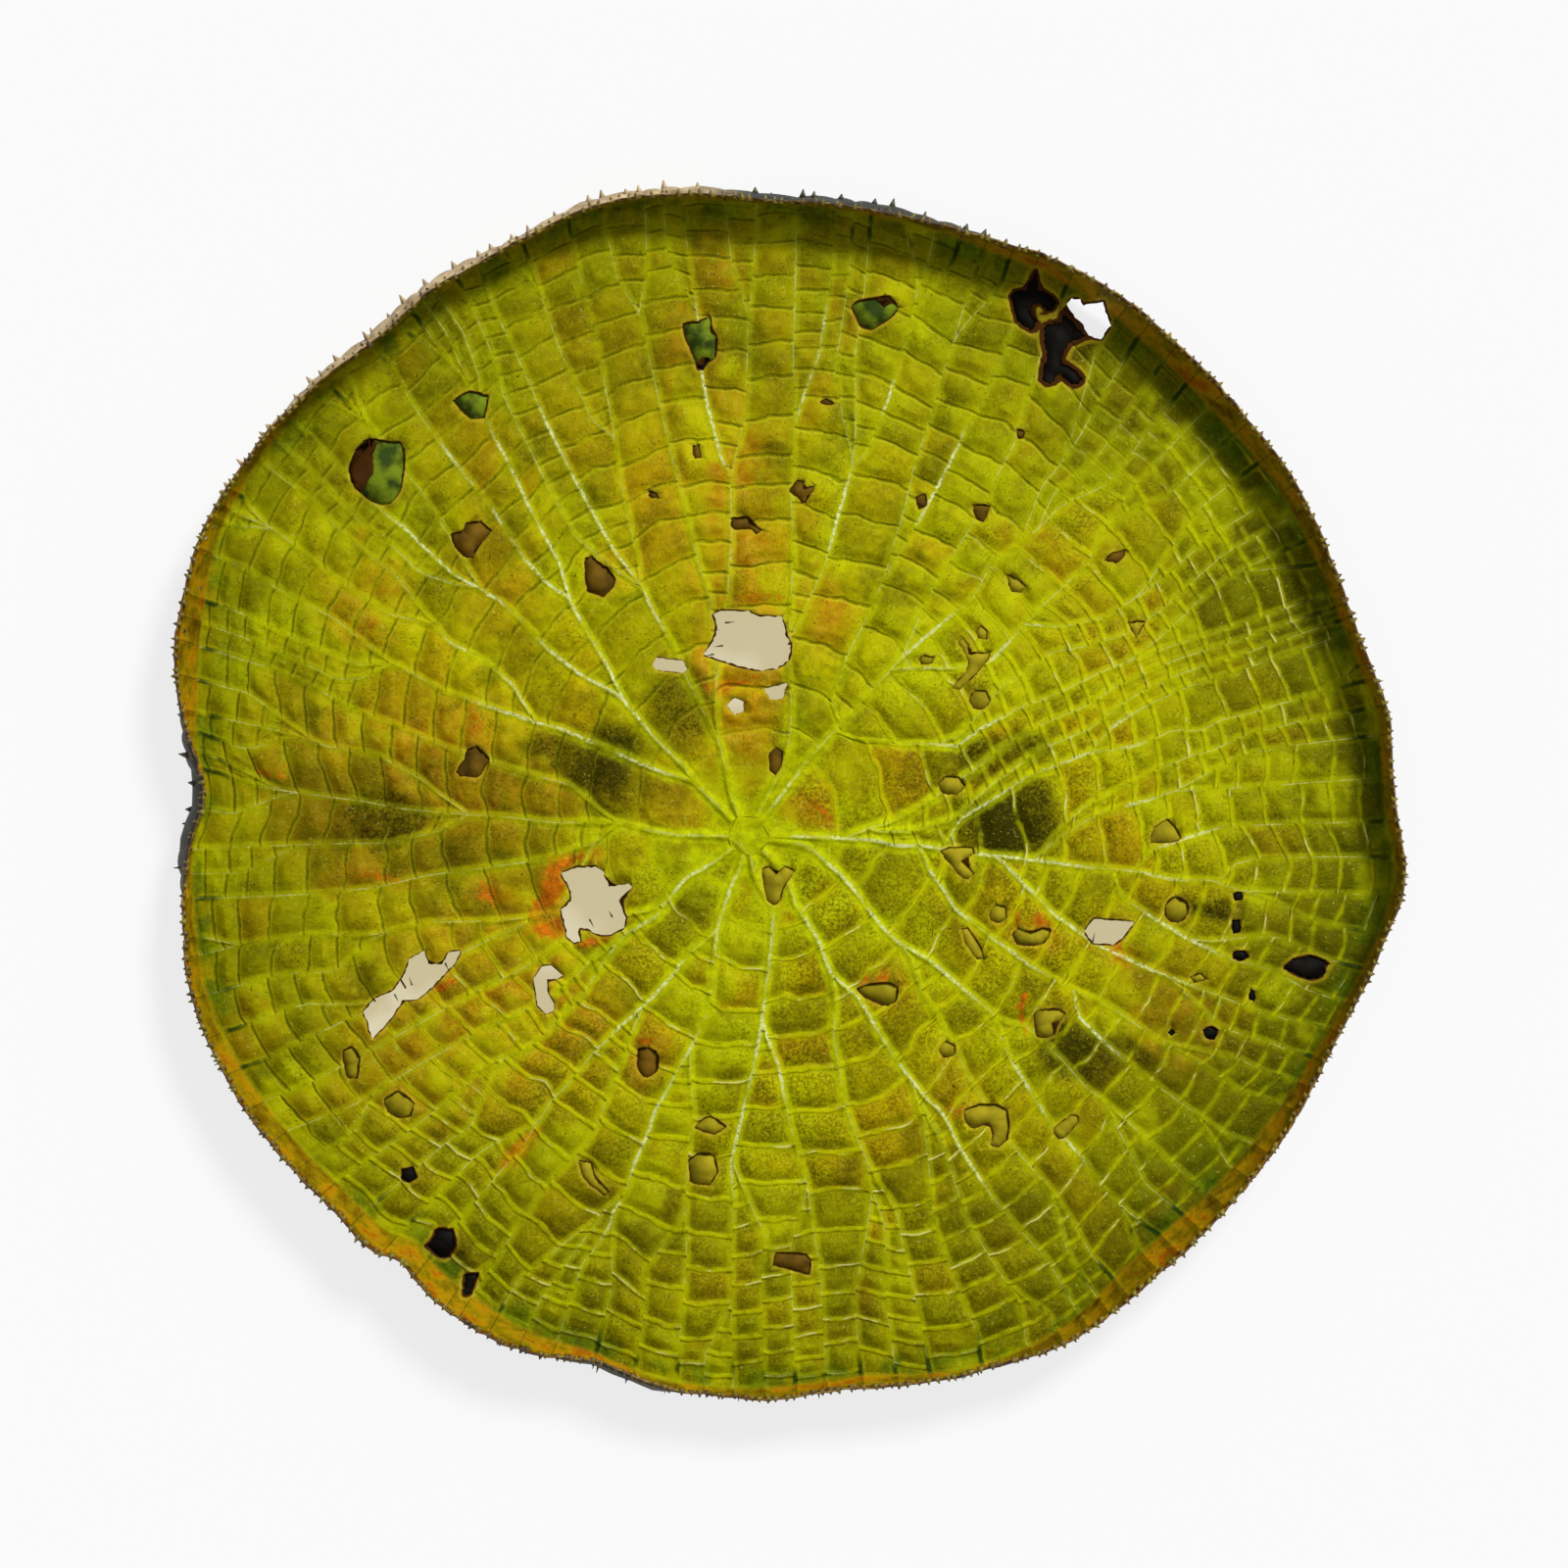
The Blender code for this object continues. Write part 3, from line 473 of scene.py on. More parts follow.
def closed_curve(rows, value):
    """A smooth value for each of 1440 directions, through rows of (angle, value, ...)."""
    rows = sorted((row[0], row[value]) for row in rows)
    angles = np.array([a - TURN for a, _ in rows] + [a for a, _ in rows] + [a + TURN for a, _ in rows])
    values = np.array([v for _, v in rows] * 3)
    slopes = np.gradient(values, angles)
    after = np.searchsorted(angles, DIRECTIONS, side="right")
    start, end = after - 1, after
    span = angles[end] - angles[start]
    share = (DIRECTIONS - angles[start]) / span
    return (
        values[start] * (1 + 2 * share) * (1 - share) ** 2
        + values[end] * share**2 * (3 - 2 * share)
        + slopes[start] * span * share * (1 - share) ** 2
        - slopes[end] * span * share**2 * (1 - share)
    )


DIRECTIONS = np.linspace(0, TURN, 1441)
EDGE_ROWS = [(direction(placed(p)), (placed(p) - HUB).length) for p in RIM_EDGE]
SHAPE_ROWS = [(math.radians(a), lean * MM, belly * MM) for a, lean, belly in RIM_SHAPE]
RIM_DISTANCE = closed_curve(EDGE_ROWS, 1)
RIM_LEAN = closed_curve(SHAPE_ROWS, 1)
RIM_BELLY = closed_curve(SHAPE_ROWS, 2)
FOLD_DISTANCE = RIM_DISTANCE - RIM_LEAN


def toward(angle, table):
    return float(np.interp(angle % TURN, DIRECTIONS, table))


def heading(angle):
    return Vector((math.cos(angle), math.sin(angle)))


def hub_point(share, angle):
    return HUB + share * toward(angle, FOLD_DISTANCE) * heading(angle)


def share_out(point):
    """How far out a point is, from 0 at the hub to 1 at the fold."""
    return (point - HUB).length / toward(direction(point), FOLD_DISTANCE)


def crown(share):
    """Height of the arched blade's upper face, before its quilting."""
    return CROWN_HEIGHT - (CROWN_HEIGHT - FOLD_HEIGHT) * min(share, 1.0) ** CROWN_POWER


def smooth(share):
    share = min(max(share, 0.0), 1.0)
    return share * share * (3 - 2 * share)


# ---------------------------------------------------------------- veins
SHARES = [float(share) for share in np.linspace(FIRST_SHARE, 1.0, LEVELS + 1)]


class Vein:
    """A vein's direction at each level, from the level where it leaves its parent."""

    def __init__(self, name, parent, crest, points, birth):
        self.name = name
        self.parent = parent
        self.crest = crest
        self.birth = birth
        self.angle = {}
        self.side = 0.0  # share of the lane where a fork without points of its own starts
        self.shares = [share_out(p) for p in points]
        self.angles = []
        for point in points:
            angle = direction(point)
            if self.angles:
                angle += TURN * round((self.angles[-1] - angle) / TURN)
            self.angles.append(angle)

    def leave(self, share, angle):
        """Start the vein on its parent."""
        turn = TURN * round((angle - self.angles[0]) / TURN)
        self.angles = [a + turn for a in self.angles]
        kept = [i for i, s in enumerate(self.shares) if s > share + 0.01]
        self.angles = [angle] + [self.angles[i] for i in kept]
        self.shares = [share] + [self.shares[i] for i in kept]

    def wanted(self, share):
        return float(np.interp(share, self.shares, self.angles))

    def crest_at(self, share):
        low, high = self.crest
        if high <= low:
            return 0.0
        return smooth((share - low) / 0.05) * smooth((high - share) / 0.06)


def spread_apart(order, share, level):
    """Push neighbouring veins apart until each lane has its least width."""
    angles = [vein.angle[level] for vein in order]
    count = len(order)
    reach = [share * toward(a, FOLD_DISTANCE) for a in angles]
    for _ in range(SPREAD_ROUNDS):
        for i in range(count):
            j = (i + 1) % count
            wrap = TURN if j == 0 else 0.0
            age = level - max(order[i].birth, order[j].birth)
            least = min(VEIN_GAP, 0.55 * TURN * reach[i] / count) * smooth(age / 8) / reach[i]
            short = least - (angles[j] + wrap - angles[i])
            if short > 0 and age > 0:
                angles[i] -= 0.5 * short
                angles[j] += 0.5 * short
    for vein, angle in zip(order, angles):
        vein.angle[level] = angle


def grow_veins():
    """All veins in order round the leaf at each level, with forks added where a lane is wide."""
    dice = random.Random(SEED)
    named = {}
    for name, (parent, crest, points) in VEINS.items():
        points = [placed(p) for p in points]
        birth = 0
        if parent != "hub":
            birth = max(1, int(np.searchsorted(SHARES, share_out(points[0]))))
        named[name] = Vein(name, parent, crest, points, birth)
    order = sorted((v for v in named.values() if v.parent == "hub"), key=lambda v: v.angles[0] % TURN)
    for vein in order:
        turn = TURN * round((vein.angles[0] % TURN - vein.angles[0]) / TURN)
        vein.angles = [a + turn for a in vein.angles]
    orders = []
    for level, share in enumerate(SHARES):
        previous = orders[-1] if orders else order
        for i, vein in enumerate(previous):
            if vein.name:
                vein.angle[level] = vein.wanted(share)
                continue
            left, right = previous[i - 1], previous[(i + 1) % len(previous)]
            wrap_left = TURN if i == 0 else 0.0
            wrap_right = TURN if i == len(previous) - 1 else 0.0
            low = left.angle[level - 1] - wrap_left
            high = right.angle[level - 1] + wrap_right
            grown = smooth((level - vein.birth) / FORK_RUN)
            aim = low + (vein.side + (0.5 - vein.side) * grown) * (high - low)
            last = vein.angle[level - 1]
            most = FORK_DRIFT / (share * toward(last, FOLD_DISTANCE))
            vein.angle[level] = last + min(max(aim - last, -most), most)
        order = list(previous)
        spread_apart(order, share, level)
        for vein in named.values():
            if vein.birth == level and vein.parent != "hub":
                parent = named[vein.parent]
                vein.leave(share, parent.angle[level])
                vein.angle[level] = parent.angle[level]
                later = min(share + 0.09, 1.0)
                place = order.index(parent)
                if vein.wanted(later) > parent.wanted(later):
                    place += 1
                order.insert(place, vein)
        if 0 < level < LEVELS - 5:
            widest = WIDE_LANE[0] + (WIDE_LANE[1] - WIDE_LANE[0]) * share
            grown = []
            for i, vein in enumerate(order):
                after = order[(i + 1) % len(order)]
                wrap = TURN if i == len(order) - 1 else 0.0
                width = (after.angle[level] + wrap - vein.angle[level]) * share
                width *= toward(vein.angle[level], FOLD_DISTANCE)
                grown.append(vein)
                settled = level - max(vein.birth, after.birth) > 3
                if width > widest * dice.uniform(0.9, 1.15) and settled:
                    fork = Vein("", "", (0, 0), [], level)
                    fork.side = float(dice.random() > 0.5)
                    source = after if fork.side else vein
                    fork.angle[level] = source.angle[level] + (wrap if fork.side else 0.0)
                    grown.append(fork)
            order = grown
        orders.append(order)
    return orders


# ---------------------------------------------------------------- lanes and their cells
class Lane:
    """The strip between two veins while they stay neighbours, with its cells' rhythm."""

    def __init__(self, left, right, start, wrap, seed, phase, length):
        self.left, self.right, self.start, self.wrap = left, right, start, wrap
        self.seed, self.phase, self.length = seed, [phase], [length]
        self.end = start

    def angles(self, level):
        level = min(level, LEVELS)
        return self.left.angle[level], self.right.angle[level] + self.wrap

    def width(self, level):
        low, high = self.angles(level)
        share = SHARES[min(level, LEVELS)]
        return (high - low) * share * toward(low, FOLD_DISTANCE)


def find_lanes(orders):
    """Every lane, from the hub outwards. A lane that forks hands its cells on to its wider half."""
    dice = random.Random(SEED + 1)
    lanes, open_lanes = [], {}
    for level, order in enumerate(orders[:-1]):
        still_open = {}
        for i, left in enumerate(order):
            right = order[(i + 1) % len(order)]
            wrap = TURN if i == len(order) - 1 else 0.0
            pair = (id(left), id(right))
            lane = open_lanes.get(pair)
            if lane is None:
                here = (left.angle[level], right.angle[level] + wrap)
                same = [m for m in open_lanes.values()
                        if math.dist(m.angles(level), here) < 1e-9 and here[1] - here[0] > 1e-9]
                rhythm = (dice.uniform(0, 50), dice.random(), 20 * MM)
                if same:
                    rhythm = (same[0].seed, same[0].phase[-1], same[0].length[-1])
                lane = Lane(left, right, level, wrap, *rhythm)
                lanes.append(lane)
            still_open[pair] = lane
            width = max(lane.width(level), lane.width(level + 1))
            least, most, loss = CELL_LENGTHS
            target = min(max(0.85 * width, least), most - loss * SHARES[level])
            uneven = 1 + 0.45 * noise.noise((lane.seed * 3.1, lane.phase[-1], 0.5))
            length = target * uneven
            run = (SHARES[level + 1] - SHARES[level]) * toward(left.angle[level], FOLD_DISTANCE)
            lane.length.append(length)
            lane.phase.append(lane.phase[-1] + run / length)
            lane.end = level + 1
        open_lanes = still_open
    return lanes


def rim_point(angle, rise, bulge):
    """A point of the rim's inner face, at a share of its rise above the fold."""
    lean = toward(angle, RIM_LEAN)
    belly = toward(angle, RIM_BELLY)
    bend = min(rise / FOLD_PART, 1.0)
    up = FOLD_RADIUS * (1 - math.cos(bend * math.pi / 2))
    out = FOLD_RADIUS * math.sin(bend * math.pi / 2)
    wall = max(0.0, rise - FOLD_PART) / (1 - FOLD_PART)
    up += (RIM_RISE - FOLD_RADIUS) * wall
    out += (lean - FOLD_RADIUS) * wall + belly * math.sin(math.pi * wall)
    crumple = noise.noise((9 * math.cos(angle), 9 * math.sin(angle), 2.2 * rise))
    fine = noise.noise((31 * math.cos(angle), 31 * math.sin(angle), 3.0 + 3 * rise))
    out += (2.6 * MM * crumple + 1.2 * MM * fine) * smooth(rise * 2) + bulge * math.sin(math.pi * rise)
    up += (2.5 * MM * math.sin(5 * angle) + 1.8 * MM * crumple) * rise
    reach = toward(angle, FOLD_DISTANCE) + out
    spot = HUB + reach * heading(angle)
    return Vector((spot.x, spot.y, FOLD_HEIGHT + up))


def cell_bow(width, across):
    """How far a crease bows outwards between its two veins."""
    return 0.015 * min(width, 50 * MM) * 4 * across * (1 - across)


def quilting(across, phase, width, length):
    """Height of the pillow that the blade makes between its veins and creases."""
    inside = phase % 1.0
    arch = (4 * across * (1 - across)) ** 0.6
    swell = (4 * inside * (1 - inside)) ** 0.5
    return 0.13 * min(width, length, 45 * MM) * arch * (0.3 + 0.7 * swell)


def ridge(distance, share):
    """Height of the rounded ridge that a vein lifts, at a distance from it."""
    spread = (5.0 - 2.2 * share) * MM
    return (3.6 - 1.8 * share) * MM * math.exp(-((distance / spread) ** 2))


def stain_strength(spots, wander, patches):
    """How strongly each spot is stained by a list of patches, with their outlines wandering."""
    strength = np.zeros(len(spots))
    for x, y, half_length, half_width, turn, most in patches:
        centre = placed((x, y))
        away = spots + wander - np.array(centre)
        turned = math.radians(turn)
        along = away[:, 0] * math.cos(turned) + away[:, 1] * math.sin(turned)
        aside = away[:, 1] * math.cos(turned) - away[:, 0] * math.sin(turned)
        far = np.hypot(along / (half_length * MM), aside / (half_width * MM))
        inside = np.clip((1.45 - far) / 0.9, 0, 1)
        strength = np.maximum(strength, most * inside * inside * (3 - 2 * inside))
    return strength


def torn_outline(jag, points):
    """An outline with small jags put between its drawn points."""
    dice = random.Random(SEED + points[0][0])
    points = [placed(p) for p in points]
    outline = []
    for i, start in enumerate(points):
        end = points[(i + 1) % len(points)]
        steps = max(1, round((end - start).length / OUTLINE_STEP))
        side = (end - start).orthogonal().normalized()
        for k in range(steps):
            shift = dice.uniform(-0.32, 0.32) * jag * MM if k or jag else 0.0
            outline.append(start.lerp(end, k / steps) + side * shift)
    return outline


ALL_TORN = [shape for shapes in TORN.values() for shape in shapes]
BARED = TORN["open"] + TORN["green"]  # the ribs and ties stop short of these


def edge_distance(spots, shapes):
    """Distance in millimetres from each spot to the nearest of some outlines, below zero inside."""
    nearest = np.full(len(spots), 60.0)
    for jag, brown, points in shapes:
        corners = np.array([tuple(p) for p in torn_outline(jag, points)])
        low, high = corners.min(axis=0) - 0.06, corners.max(axis=0) + 0.06
        close = np.all((spots > low) & (spots < high), axis=1)
        if not close.any():
            continue
        here = spots[close]
        far = np.full(len(here), 1.0)
        inside = np.zeros(len(here), dtype=bool)
        for a, b in zip(corners, np.roll(corners, -1, axis=0)):
            edge = b - a
            share = np.clip(((here - a) @ edge) / (edge @ edge), 0, 1)
            far = np.minimum(far, np.hypot(*(here - a - share[:, None] * edge).T))
            if a[1] != b[1]:
                crosses = (here[:, 1] < a[1]) != (here[:, 1] < b[1])
                inside ^= crosses & (here[:, 0] < a[0] + edge[0] * (here[:, 1] - a[1]) / edge[1])
        signed = np.where(inside, -far, far) / MM - 0.5 * brown + 1.0
        nearest[close] = np.minimum(nearest[close], signed)
    return nearest


# ---------------------------------------------------------------- the blade and its rim
COLUMNS = (0.0, 0.09, 0.27, 0.5, 0.73, 0.91, 1.0)
NOTES = ("across", "lane_width", "lane", "phase", "cell_length", "share", "crest")


def leaf_rows(lane):
    """The lane's rows from its start outwards: a share each, which goes on from 1 up the rim."""
    rows = [SHARES[level] for level in range(lane.start, lane.end + 1)]
    if lane.end == LEVELS:
        rows += [1.0 + rise for rise in RIM_RINGS]
    return rows


def leaf_vertex(lane, row, share, across):
    """A vertex's place and its notes, at one row and one share across a lane."""
    level = min(lane.start + row, lane.end)
    low, high = lane.angles(level)
    angle = low + (high - low) * across
    width = lane.width(level)
    length = lane.length[min(row, len(lane.length) - 1)]
    bow = cell_bow(width, across)
    skew = 0.50 * noise.noise((lane.seed * 7.7, 4.0, SHARES[level] * 3)) * (across - 0.5)
    phase = lane.phase[min(row, len(lane.phase) - 1)] - bow / length + skew
    if share > 1.0:
        phase += (share - 1.0) * RIM_RISE / length
    crest = lane.left.crest_at(share) * (1 - across) + lane.right.crest_at(share) * across
    notes = (across, width / MM, lane.seed, phase, length / MM, share, crest)
    if share > 1.0:
        rise = share - 1.0
        bulge = 2.2 * MM * (4 * across * (1 - across) - 0.5)
        spot = rim_point(angle, rise, bulge)
        if rise == 1.0:
            torn = 2.2 * MM * noise.noise((70 * math.cos(angle), 70 * math.sin(angle), 5.0))
            spot += torn * Vector((0.6 * math.cos(angle), 0.6 * math.sin(angle), 0.8))
        return spot, notes
    flat = hub_point(share, angle)
    sway = 2.2 * MM * noise.noise((flat.x * 9, flat.y * 9, 3.0))
    from_vein = min(across, 1 - across) * width
    puff = quilting(across, phase, width, length) * (1 - 0.6 * smooth((share - 0.93) / 0.07))
    rough = 0.8 * MM * noise.noise((flat.x * 60, flat.y * 60, 9.0))
    calm = smooth(share / 0.12)
    height = crown(share) + (sway + rough) * calm + puff * calm + ridge(from_vein, share)
    return Vector((flat.x, flat.y, height)), notes


def new_object(name, mesh):
    piece = bpy.data.objects.new(name, mesh)
    bpy.context.collection.objects.link(piece)
    return piece


def make_sheet(lanes):
    """The blade and rim as one open sheet, with each lane's notes kept on its corners."""
    sheet = bmesh.new()
    notes = []
    last = len(COLUMNS) - 1
    for lane in lanes:
        rows = leaf_rows(lane)
        if len(rows) < 2:
            continue
        made = bmesh.ops.create_grid(sheet, x_segments=last, y_segments=len(rows) - 1, size=0.5)
        for vertex in made["verts"]:
            column = round((vertex.co.x + 0.5) * last)
            row = round((vertex.co.y + 0.5) * (len(rows) - 1))
            vertex.co, note = leaf_vertex(lane, row, rows[row], COLUMNS[last - column])
            notes.append(note)
    mesh = bpy.data.meshes.new("leaf")
    sheet.to_mesh(mesh)
    sheet.free()
    add_notes(mesh, np.array(notes))
    weld(mesh)
    return mesh


def add_notes(mesh, notes):
    """Write what the materials need to know on the mesh's corners."""
    count = len(mesh.vertices)
    place = np.empty(count * 3)
    mesh.vertices.foreach_get("co", place)
    spots = place.reshape(-1, 3)[:, :2]
    wander = np.array([
        (noise.noise((x * 20, y * 20, 1.0)), noise.noise((x * 20, y * 20, 7.0))) for x, y in spots
    ]) * 22 * MM
    values = {name: notes[:, i] for i, name in enumerate(NOTES)}
    values["hole"] = edge_distance(spots, ALL_TORN)
    for kind, patches in STAINS.items():
        values[kind] = stain_strength(spots, wander, patches)
    corners = np.empty(len(mesh.loops), dtype=np.int32)
    mesh.loops.foreach_get("vertex_index", corners)
    for name, column in values.items():
        mesh.attributes.new(name, "FLOAT", "CORNER").data.foreach_set("value", column[corners])
    grain = mesh.uv_layers.new(name="grain")
    flow = np.stack((
        values["across"] * values["lane_width"] * MM + values["lane"],
        values["share"] * 0.6,
    ), axis=1)
    grain.uv.foreach_set("vector", flow[corners].ravel())


def weld(mesh):
    """Join the lanes along their veins, and close the small ring left at the hub."""
    sheet = bmesh.new()
    sheet.from_mesh(mesh)
    bmesh.ops.remove_doubles(sheet, verts=sheet.verts, dist=0.02 * MM)
    inner = [e for e in sheet.edges if e.is_boundary
             and all((v.co.xy - HUB).length < 0.1 for v in e.verts)]
    bmesh.ops.contextual_create(sheet, geom=inner)
    bmesh.ops.recalc_face_normals(sheet, faces=sheet.faces)
    if sum(f.normal.z for f in sheet.faces) < 0:
        bmesh.ops.reverse_faces(sheet, faces=sheet.faces)
    for face in sheet.faces:
        face.smooth = True
    sheet.to_mesh(mesh)
    sheet.free()


def bake_modifiers(piece):
    """Turn an object's modifiers into plain mesh."""
    evaluated = piece.evaluated_get(bpy.context.evaluated_depsgraph_get())
    mesh = bpy.data.meshes.new_from_object(evaluated, preserve_all_data_layers=True,
                                           depsgraph=bpy.context.evaluated_depsgraph_get())
    piece.modifiers.clear()
    piece.data = mesh


def make_hole_cutter(material_index):
    """All holes as upright prisms that pass through the blade and stay clear of the floor."""
    prisms = bmesh.new()
    for jag, _, points in ALL_TORN:
        outline = torn_outline(jag, points)
        low, high = CUTTER_SPAN
        face = prisms.faces.new([prisms.verts.new((p.x, p.y, low)) for p in outline])
        made = bmesh.ops.extrude_face_region(prisms, geom=[face])
        lifted = [v for v in made["geom"] if isinstance(v, bmesh.types.BMVert)]
        bmesh.ops.translate(prisms, verts=lifted, vec=(0, 0, high - low))
    bmesh.ops.recalc_face_normals(prisms, faces=prisms.faces)
    for face in prisms.faces:
        face.material_index = material_index
    mesh = bpy.data.meshes.new("hole_cutter")
    prisms.to_mesh(mesh)
    prisms.free()
    return new_object("hole_cutter", mesh)


def make_films(sheet, materials):
    """The thin film left in each torn place that isn't open, just below the blade's upper face; in the black
    pits it is partly painted shade.
    """
    films = bmesh.new()
    tree = BVHTree.FromPolygons([v.co for v in sheet.vertices], [p.vertices for p in sheet.polygons])
    for number, kind in enumerate(("brown", "olive", "green", "black")):
        for jag, _, points in TORN[kind]:
            ring = []
            for point in torn_outline(jag, points):
                hit = tree.ray_cast(Vector((point.x, point.y, 0.2)), Vector((0, 0, -1)))[0]
                ring.append(films.verts.new((point.x, point.y, hit.z - FILM_DEPTH)))
            films.faces.new(ring).material_index = number
    bmesh.ops.recalc_face_normals(films, faces=films.faces)
    bmesh.ops.triangulate(films, faces=films.faces)
    bmesh.ops.solidify(films, geom=films.faces, thickness=FILM_THICKNESS)
    piece = finish_piece("torn_films", films, materials[0])
    for material in materials[1:]:
        piece.data.materials.append(material)
    return piece


def make_leaf(sheet, materials):
    """The whole blade with its rim, given its thickness and its holes."""
    leaf = new_object("leaf_blade", sheet)
    for material in materials:
        leaf.data.materials.append(material)
    thick = leaf.modifiers.new("thickness", "SOLIDIFY")
    thick.thickness = BLADE_THICKNESS
    thick.offset = -1
    thick.material_offset = 1
    thick.material_offset_rim = 2
    bake_modifiers(leaf)
    cutter = make_hole_cutter(2)
    for material in materials:
        cutter.data.materials.append(material)
    cut = leaf.modifiers.new("holes", "BOOLEAN")
    cut.operation = "DIFFERENCE"
    cut.solver = "MANIFOLD"
    cut.object = cutter
    bake_modifiers(leaf)
    bpy.data.objects.remove(cutter)
    return leaf


# ---------------------------------------------------------------- underside
def vein_runs(orders):
    """Each vein's points from its start outwards, as (share, angle)."""
    runs = {}
    for level, order in enumerate(orders):
        for vein in order:
            runs.setdefault(id(vein), (vein, []))[1].append((SHARES[level], vein.angle[level]))
    return list(runs.values())


def sound_runs(orders):
    """The veins' runs in longer steps, broken off where a hole has eaten them."""
    pieces = []
    for vein, run in vein_runs(orders):
        run = run[::2] + ([run[-1]] if len(run) % 2 == 0 else [])
        clear = edge_distance(np.array([hub_point(*place) for place in run]), BARED) > RIB_CLEARANCE
        part = []
        for place, kept in zip(run + [None], list(clear) + [False]):
            if kept:
                part.append(place)
            else:
                if len(part) >= 3:
                    pieces.append((vein, part))
                part = []
    return pieces


def rib_height(share, vein):
    """How far a rib hangs below the blade."""
    full = crown(share) - 0.5 * BLADE_THICKNESS
    if vein.parent == "hub":
        return full if share < 0.84 else full * (1 - 0.45 * smooth((share - 0.84) / 0.16))
    return min(full, (0.026 - 0.017 * share)) * 0.9


def make_ribs(orders, material):
    """Tall thin ribs under the veins, deepest near the stalk, broken off at the bared places."""
    ribs = bmesh.new()
    for vein, run in sound_runs(orders):
        rings = []
        for k, (share, angle) in enumerate(run):
            half = (0.0065 - 0.0040 * share) * (1.0 if vein.parent == "hub" else 0.6)
            half *= 0.35 + 0.65 * smooth((len(run) - 1 - k) / 6)
            aside = heading(angle).orthogonal()
            middle = hub_point(share, angle)
            top = crown(share) - 0.6 * BLADE_THICKNESS
            hang = min(rib_height(share, vein) * (0.55 + 0.45 * smooth(k / 4)), top)
            section = ((-1.0, 0.0), (-0.8, 0.55), (-0.55, 0.93), (0.0, 1.0), (0.55, 0.93),
                       (0.8, 0.55), (1.0, 0.0))
            ring = []
            for x, depth in section:
                spot = middle + aside * (x * half)
                ring.append(ribs.verts.new((spot.x, spot.y, top - depth * hang)))
            rings.append(ring)
        for inner, outer in zip(rings, rings[1:]):
            for i in range(len(inner)):
                j = (i + 1) % len(inner)
                ribs.faces.new((inner[i], inner[j], outer[j], outer[i]))
        ribs.faces.new(rings[0])
        ribs.faces.new(list(reversed(rings[-1])))
    return finish_piece("under_ribs", ribs, material)


def make_ties(lanes, material):
    """Low ribs across each lane, under the creases between its cells."""
    ties = bmesh.new()
    for lane in lanes:
        for row in range(lane.end - lane.start):
            level = lane.start + row
            if math.floor(lane.phase[row]) == math.floor(lane.phase[row + 1]):
                continue
            width = lane.width(level)
            share = SHARES[level]
            low, high = lane.angles(level)
            middle = hub_point(share, (low + high) / 2)
            if width < TIE_LEAST_LANE or level < TIE_FIRST_LEVEL:
                continue
            if edge_distance(np.array([middle]), BARED)[0] < TIE_CLEARANCE:
                continue
            strips = []
            for across in (0.0, 0.33, 0.67, 1.0):
                bow = cell_bow(width, across)
                angle = low + (high - low) * across
                reach = share * toward(angle, FOLD_DISTANCE) + bow
                top = crown(share) - 0.4 * BLADE_THICKNESS
                hang = (9.0 - 4.5 * share) * MM
                ring = []
                for out, depth in ((-1.1, 0.0), (-0.6, 1.0), (0.6, 1.0), (1.1, 0.0)):
                    distance = reach + out * MM
                    ring.append(ties.verts.new((
                        HUB.x + distance * math.cos(angle), HUB.y + distance * math.sin(angle),
                        top - depth * min(hang, top))))
                strips.append(ring)
            for inner, outer in zip(strips, strips[1:]):
                for i in range(3):
                    ties.faces.new((inner[i], inner[i + 1], outer[i + 1], outer[i]))
    return finish_piece("under_ties", ties, material)


def add_spine(spines, foot, tip, width):
    """One thorn: a thin cone from its foot to its tip."""
    along = tip - foot
    matrix = along.to_track_quat("Z", "Y").to_matrix().to_4x4()
    matrix.translation = foot + 0.5 * along
    bmesh.ops.create_cone(spines, segments=5, radius1=width, radius2=0.12 * width,
                          depth=along.length, cap_ends=True, matrix=matrix)


def make_teeth(material):
    """Blunt teeth, about 10 mm apart, along the rim's top edge."""
    dice = random.Random(SEED + 3)
    teeth = bmesh.new()
    for number in range(TOOTH_COUNT):
        angle = TURN * (number + dice.uniform(0.1, 0.9)) / TOOTH_COUNT
        patchy = 0.5 + 0.5 * noise.noise((5 * math.cos(angle), 5 * math.sin(angle), 8.0))
        length = (4.0 + 4.5 * patchy * dice.random()) * MM
        outward = heading(angle).to_3d()
        sideways = Vector((-outward.y, outward.x, 0.0)) * dice.uniform(-0.5, 0.5)
        foot = rim_point(angle, dice.uniform(0.93, 1.0), 0.0)
        tip = foot + (outward + sideways + Vector((0, 0, dice.uniform(-0.2, 0.2)))).normalized() * length
        add_spine(teeth, foot - outward * 2 * MM, tip, dice.uniform(3.4, 5.0) * MM)
    return finish_piece("rim_teeth", teeth, material)


